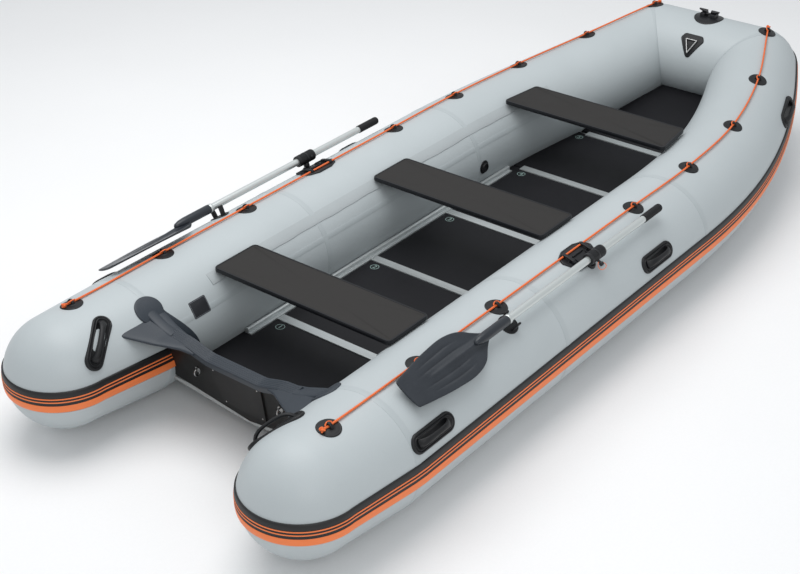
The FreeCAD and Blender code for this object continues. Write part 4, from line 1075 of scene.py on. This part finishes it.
def grooves(starts, steps, outer, inner):
    """Profile points of a row of grooves: at each start down a slope, along its floor and up again."""
    down, floor_end, up = steps
    return sum([[(x, outer), (x + down, inner), (x + floor_end, inner), (x + up, outer)] for x in starts], [])


collar_profile = [(-50, 16.2), (-50, 23.5), (-48.5, 25), (-40, 25.4)]
collar_profile += grooves(np.arange(-38, -6, 6.0), (1, 3, 4), 25.4, 23.9)
collar_profile += [(-4, 25.8), (4, 25.8)]
collar_profile += grooves(np.arange(6, 38, 6.0), (1, 3, 4), 25.4, 23.9)
collar_profile += [(42, 25.6), (48.5, 25), (50, 23.5), (50, 16.2)]
knob_way = unit(np.array((0, 0.86, -0.5)))
knob_foot = oar_centre + (-8, 0, 0)
socket_profile = [(0, 9), (0, 12.5), (1.5, 14), (18, 14), (20, 13)]
knob_profile = [(20, 6), (38, 6), (38.5, 8.4), (40, 9.4), (44, 9.8), (49, 9.4), (52, 7.5), (53, 4)]
nut_profile = [(18, 7), (27, 7), (29.5, 5.5), (30, 3)]
collar_shells = [ring_shell(lathe(oar_centre, (1, 0, 0), collar_profile, 48)),
                 ring_shell(lathe(oar_centre - pin_way * 38, pin_way, socket_profile, 28)),
                 ring_shell(lathe(knob_foot, knob_way, knob_profile, 24)),
                 ring_shell(lathe(oar_centre + (22, 0, 0), -np.cross(pin_way, (1.0, 0, 0)), nut_profile, 6))]
keeper_finish = braid_finish("keeper_finish")


def keeper_loop():
    """The thin keeper: a loop of orange cord from the knob's neck, hanging outboard of the collar."""
    t = np.linspace(0, 2 * np.pi, 81)[:-1, None]
    down = unit(np.array((0, 0.82, -0.57)))
    lift = np.cross(down, (1.0, 0, 0))
    middle = (knob_foot + knob_way * 33 + (22 * np.sin(t) - 4) * np.array((1.0, 0, 0))
              + (1 - np.cos(t)) * 17 * down + 2.5 * np.sin(2 * t) * lift)
    return closed_line(middle, 1.3, 10)


# The oars: a two part aluminium shaft with a ribbed foam grip at the forward end and a moulded blade
# whose hollow neck is pushed over the shaft. A bright ring covers the joint at the neck.
shaft_aluminium = moulded_finish("shaft_aluminium", (0.60, 0.64, 0.63), (0.72, 0.75, 0.74), 0.34, grain=160.0,
                                 stretch=(0.05, 1.0, 1.0), bump=0.08, metallic=0.7, patches=6.0)
grip_foam = moulded_finish("grip_foam", (0.006, 0.0065, 0.0075), (0.014, 0.0145, 0.016), 0.65, grain=420.0,
                           bump=0.7, depth=0.0008, level=0.3)
blade_plastic = moulded_finish("blade_plastic", (0.014, 0.018, 0.024), (0.024, 0.029, 0.037), 0.34, grain=120.0,
                               bump=0.15, patches=8.0, level=0.45)
grip_start = 2198.0
grip_profile = [(0, 15.2), (0, 16.5), (1.5, 17.5)]
grip_profile += grooves(np.arange(6, 118, 7.0), (1.5, 3, 4.5), 17.7, 16.9)
grip_profile += [(125, 17.6), (130, 16.6), (133, 14.5), (134.6, 10), (135, 4)]
blade_root, blade_tip, neck_end = 1080.0, 639.0, 1220.0
blade_turn = math.radians(30.0)
blade_up = np.array((0, math.sin(blade_turn), math.cos(blade_turn)))
blade_side = np.array((0, math.cos(blade_turn), -math.sin(blade_turn)))
blade_marks = np.array([639.0, 642.0, 650.0, 699.0, 830.0, 950.0, 1020.0, 1060.0, 1092.0])
blade_half = np.array([57.0, 60.5, 62.5, 71.0, 89.0, 92.0, 72.0, 42.0, 20.0])


def blade_rings(count=120, rows=110):
    """Rings across the blade from tip to root: a thin section that follows the outline, dished along
    both halves, with a spine that grows towards the neck and two tapering flutes pressed into each
    half."""
    x = np.linspace(blade_tip, blade_root + 12, rows)
    half = smooth_through(blade_marks, blade_half[:, None], x)[:, 0]
    angle = np.linspace(0, 2 * np.pi, count + 1)[:-1]
    across = np.cos(angle)[None] * half[:, None]
    share = np.cos(angle)[None] + 0 * across
    face = np.sign(np.sin(angle))[None]
    thick = 3.4 * (1 - np.abs(share) ** 6) ** 0.5 + 0.9
    dish = 5.0 * (share ** 2 - 0.5)
    reach = np.clip((x - blade_tip - 120) / (blade_root - blade_tip - 120), 0, 1)[:, None]
    spine = (2.5 + 14.0 * reach ** 1.3) * np.exp(-(across / (7 + 8 * reach)) ** 2) * np.minimum(1, reach * 8)
    flutes = 0 * across
    for centre, start, end, deep in ((0.27, 700.0, 1030.0, 4.2), (0.60, 730.0, 985.0, 4.0)):
        along = np.clip((x - start) / (end - start), 0, 1)
        wide = 4.6 * np.sin(np.pi * along) ** 0.7 + 0.01
        off = (np.abs(across) - centre * half[:, None] - 3) / wide[:, None]
        flutes += deep * np.sin(np.pi * along)[:, None] * np.exp(-off ** 2)
    top = dish + thick + spine - flutes
    bottom = dish - thick - 0.5 * spine + 0.4 * flutes
    high = np.where(face > 0, top, np.where(face < 0, bottom, dish))
    base = np.stack([x, 0 * x + oar_centre[1], 0 * x + oar_centre[2]], -1) - 17.5 * blade_up
    return base[:, None] + across[..., None] * blade_side + high[..., None] * blade_up


def on_shaft(x, profile, count=36):
    """A turned piece on the oar's shaft, its profile measured forward from x."""
    return ring_shell(lathe((x, oar_centre[1], oar_centre[2]), (1, 0, 0), profile, count))


neck_profile = [(-60, 3), (-52, 11), (-30, 17), (0, 19.4), (136, 19.8), (139, 19.2), (140, 17), (140, 15.2)]
blade_shells = [ring_shell(blade_rings()), on_shaft(blade_root, neck_profile, 40)]
neck_ring = on_shaft(neck_end, [(1, 15), (1, 18.2), (2, 19), (14, 19), (15, 18.2), (15, 15)])
stop_ring = on_shaft(oarlock_x, [(51, 15), (51, 17.4), (52, 18), (60, 18), (61, 17.4), (61, 15)])
grip_shell = on_shaft(grip_start, grip_profile)
keeper = ring_shell(keeper_loop(), closed=True)
for side, turned in (("port", set_aft), ("starboard", mirrored)):
    oar = side + "_oar"
    mesh_piece(side + "_oarlock_moulding", [turned(s) for s in base_shells], oarlock_plastic, "hull",
               [side + "_oarlock_base"])
    mesh_piece(side + "_collar_moulding", [turned(s) for s in collar_shells], oarlock_plastic, oar,
               [side + "_oarlock_collar"])
    mesh_piece(side + "_grip_moulding", [turned(grip_shell)], grip_foam, oar, [oar + "_grip"])
    mesh_piece(side + "_blade_moulding", [turned(s) for s in blade_shells], blade_plastic, oar,
               [oar + "_blade"], crease=50)
    mesh_piece(side + "_oar_rings", [turned(neck_ring), turned(stop_ring)], shaft_aluminium, oar)
    mesh_piece(side + "_keeper", [turned(keeper)], keeper_finish, oar, crease=80)
    finish_nodes(shaft_aluminium, side + "_oar_shaft")


# The oar clips: a round rubber patch under each oar's neck with two low lips that the neck is pressed
# between.
clip_place = tube_foot(1260.0, 29.0)
clip_layers = [(0, -4), (0, 1.6), (1.0, 2.8), (2.5, 3.4), (5, 3.6), (7, 3.0), (9, 3.5), (20, 3.8)]
clip_shells = [laid_plate(circle(42, 56), clip_layers, clip_place)]
clip_shells += [block(clip_place, 0.0, v, 12.0, 4.0, 1.0, 46.0, 4.0, 3.5) for v in (-27.0, 27.0)]
for side, turned in (("port", set_aft), ("starboard", mirrored)):
    mesh_piece(side + "_clip_moulding", [turned(s) for s in clip_shells], black_rubber, "hull",
               [side + "_oar_clip"])


# The bow fittings: a moulded fairlead on top of the bow tube, a roller notch between two horns; a
# shield of black rubber on the inner side with a steel ring for the painter.
bow_top = np.array((bow_x, 0.0, bow_z))
fair_place = (bow_top + (0, 0, bow_radius), port_way, np.array((0.0, 0.0, 1.0)), bow_radius)
fair_layers = [(0, -5), (0, 2), (1.5, 4), (4, 4.8), (8, 5), (10, 4.4), (13, 5), (30, 6.5), (50, 8)]
fair = [laid_plate(circle(76, 72), fair_layers, fair_place)]
fair += [block(fair_place, y, 0.0, 14.0, 24.0, 0.0, 26.0, 5.0, 7.0) for y in (-29.0, 29.0)]


def horn(sign):
    """Rings of a horn: a round bar leaning out from the post, thinning to a blunt point."""
    s = np.linspace(0, 1, 20)[:, None]
    middle = bow_top + (0, 0, bow_radius + 32) + sign * (12 + 44 * s) * port_way + (0, 0, 1) * (5 * s ** 2)
    rim = circle(1.0, 24)
    size = 10.5 * (1 - 0.55 * s ** 2)
    return (middle[:, None]
            + size[..., None] * (rim[None, :, :1] * (1.0, 0, 0) + rim[None, :, 1:] * (0, 0, 0.85)))


fair += [ring_shell(horn(1)), ring_shell(horn(-1))]
roller_profile = [(0, 4), (0, 9), (5, 7.5), (15, 6.8), (25, 7.5), (30, 9), (30, 4)]
fair.append(ring_shell(lathe(bow_top + (0, -15, bow_radius + 18), (0, 1, 0), roller_profile, 28)))
mesh_piece("fairlead_moulding", fair, oarlock_plastic, "hull", ["bow_fairlead"])
shield_turn = math.radians(-56)
shield_normal = np.array((math.sin(shield_turn), 0, math.cos(shield_turn)))
shield_place = (bow_top + shield_normal * bow_radius, port_way, shield_normal, bow_radius)
shield_outline = rounded_frame([(0, -80), (66, 30), (50, 58), (-50, 58), (-66, 30)], 16.0, 10)
shield_layers = [(0, -4), (0, 2), (1.2, 3.6), (3, 4.4), (5, 4.6), (7, 4.0), (9, 4.5), (20, 4.8)]
mesh_piece("shield_moulding", [laid_plate(shield_outline, shield_layers, shield_place)], black_rubber, "hull",
           ["bow_shield_patch"])


# The inflation valves: a round flange welded to the inner side of each side tube with a screwed cap on
# it.
valve_foot = np.array((2625.0, tube_centre_y - tube_radius + 6, tube_z))
valve_profile = [(-6, 33), (6, 33.5), (8.6, 32), (10, 30), (10, 23.5), (10.5, 22), (18, 21.5), (19.6, 20),
                 (20, 17), (18.6, 15), (18.4, 3)]
lug_profile = [(9, 2.4), (17.5, 2.4), (18.5, 1.5)]
valve = [ring_shell(lathe(valve_foot, (0, -1, 0), valve_profile, 48))]
for turn in np.linspace(0, 2 * np.pi, 13)[:-1]:
    lug_foot = valve_foot + 21 * np.array((math.cos(turn), 0, math.sin(turn)))
    valve.append(ring_shell(lathe(lug_foot, (0, -1, 0), lug_profile, 10)))
mesh_piece("valve_mouldings", valve + [mirrored(s) for s in valve], black_rubber, "hull", ["inflation_valves"])


# The plate: a blank black label of thin flexible plastic bonded to the inner side of the port tube by
# the transom.
plate_finish = moulded_finish("plate_finish", (0.012, 0.013, 0.016), (0.022, 0.023, 0.028), 0.35, bump=0.1)
plate_rim = moulded_finish("plate_rim", (0.16, 0.17, 0.19), (0.24, 0.25, 0.28), 0.4, bump=0.1)
plate_place = tube_foot(754.0, -60.5)
plate_outline = rounded_box(0, 0, 44, 35, 6.0)
plate_layers = [(0, -1), (0, 0.9), (0.4, 1.2), (2.5, 1.2)]
rim_layers = [(3, 0.8), (3, 1.35), (4.4, 1.35), (4.4, 0.8)]
mesh_piece("label_plate", [laid_plate(plate_outline, plate_layers, plate_place)], plate_finish, "hull")
mesh_piece("label_rim", [laid_plate(plate_outline, rim_layers, plate_place, fill=0)], plate_rim, "hull")
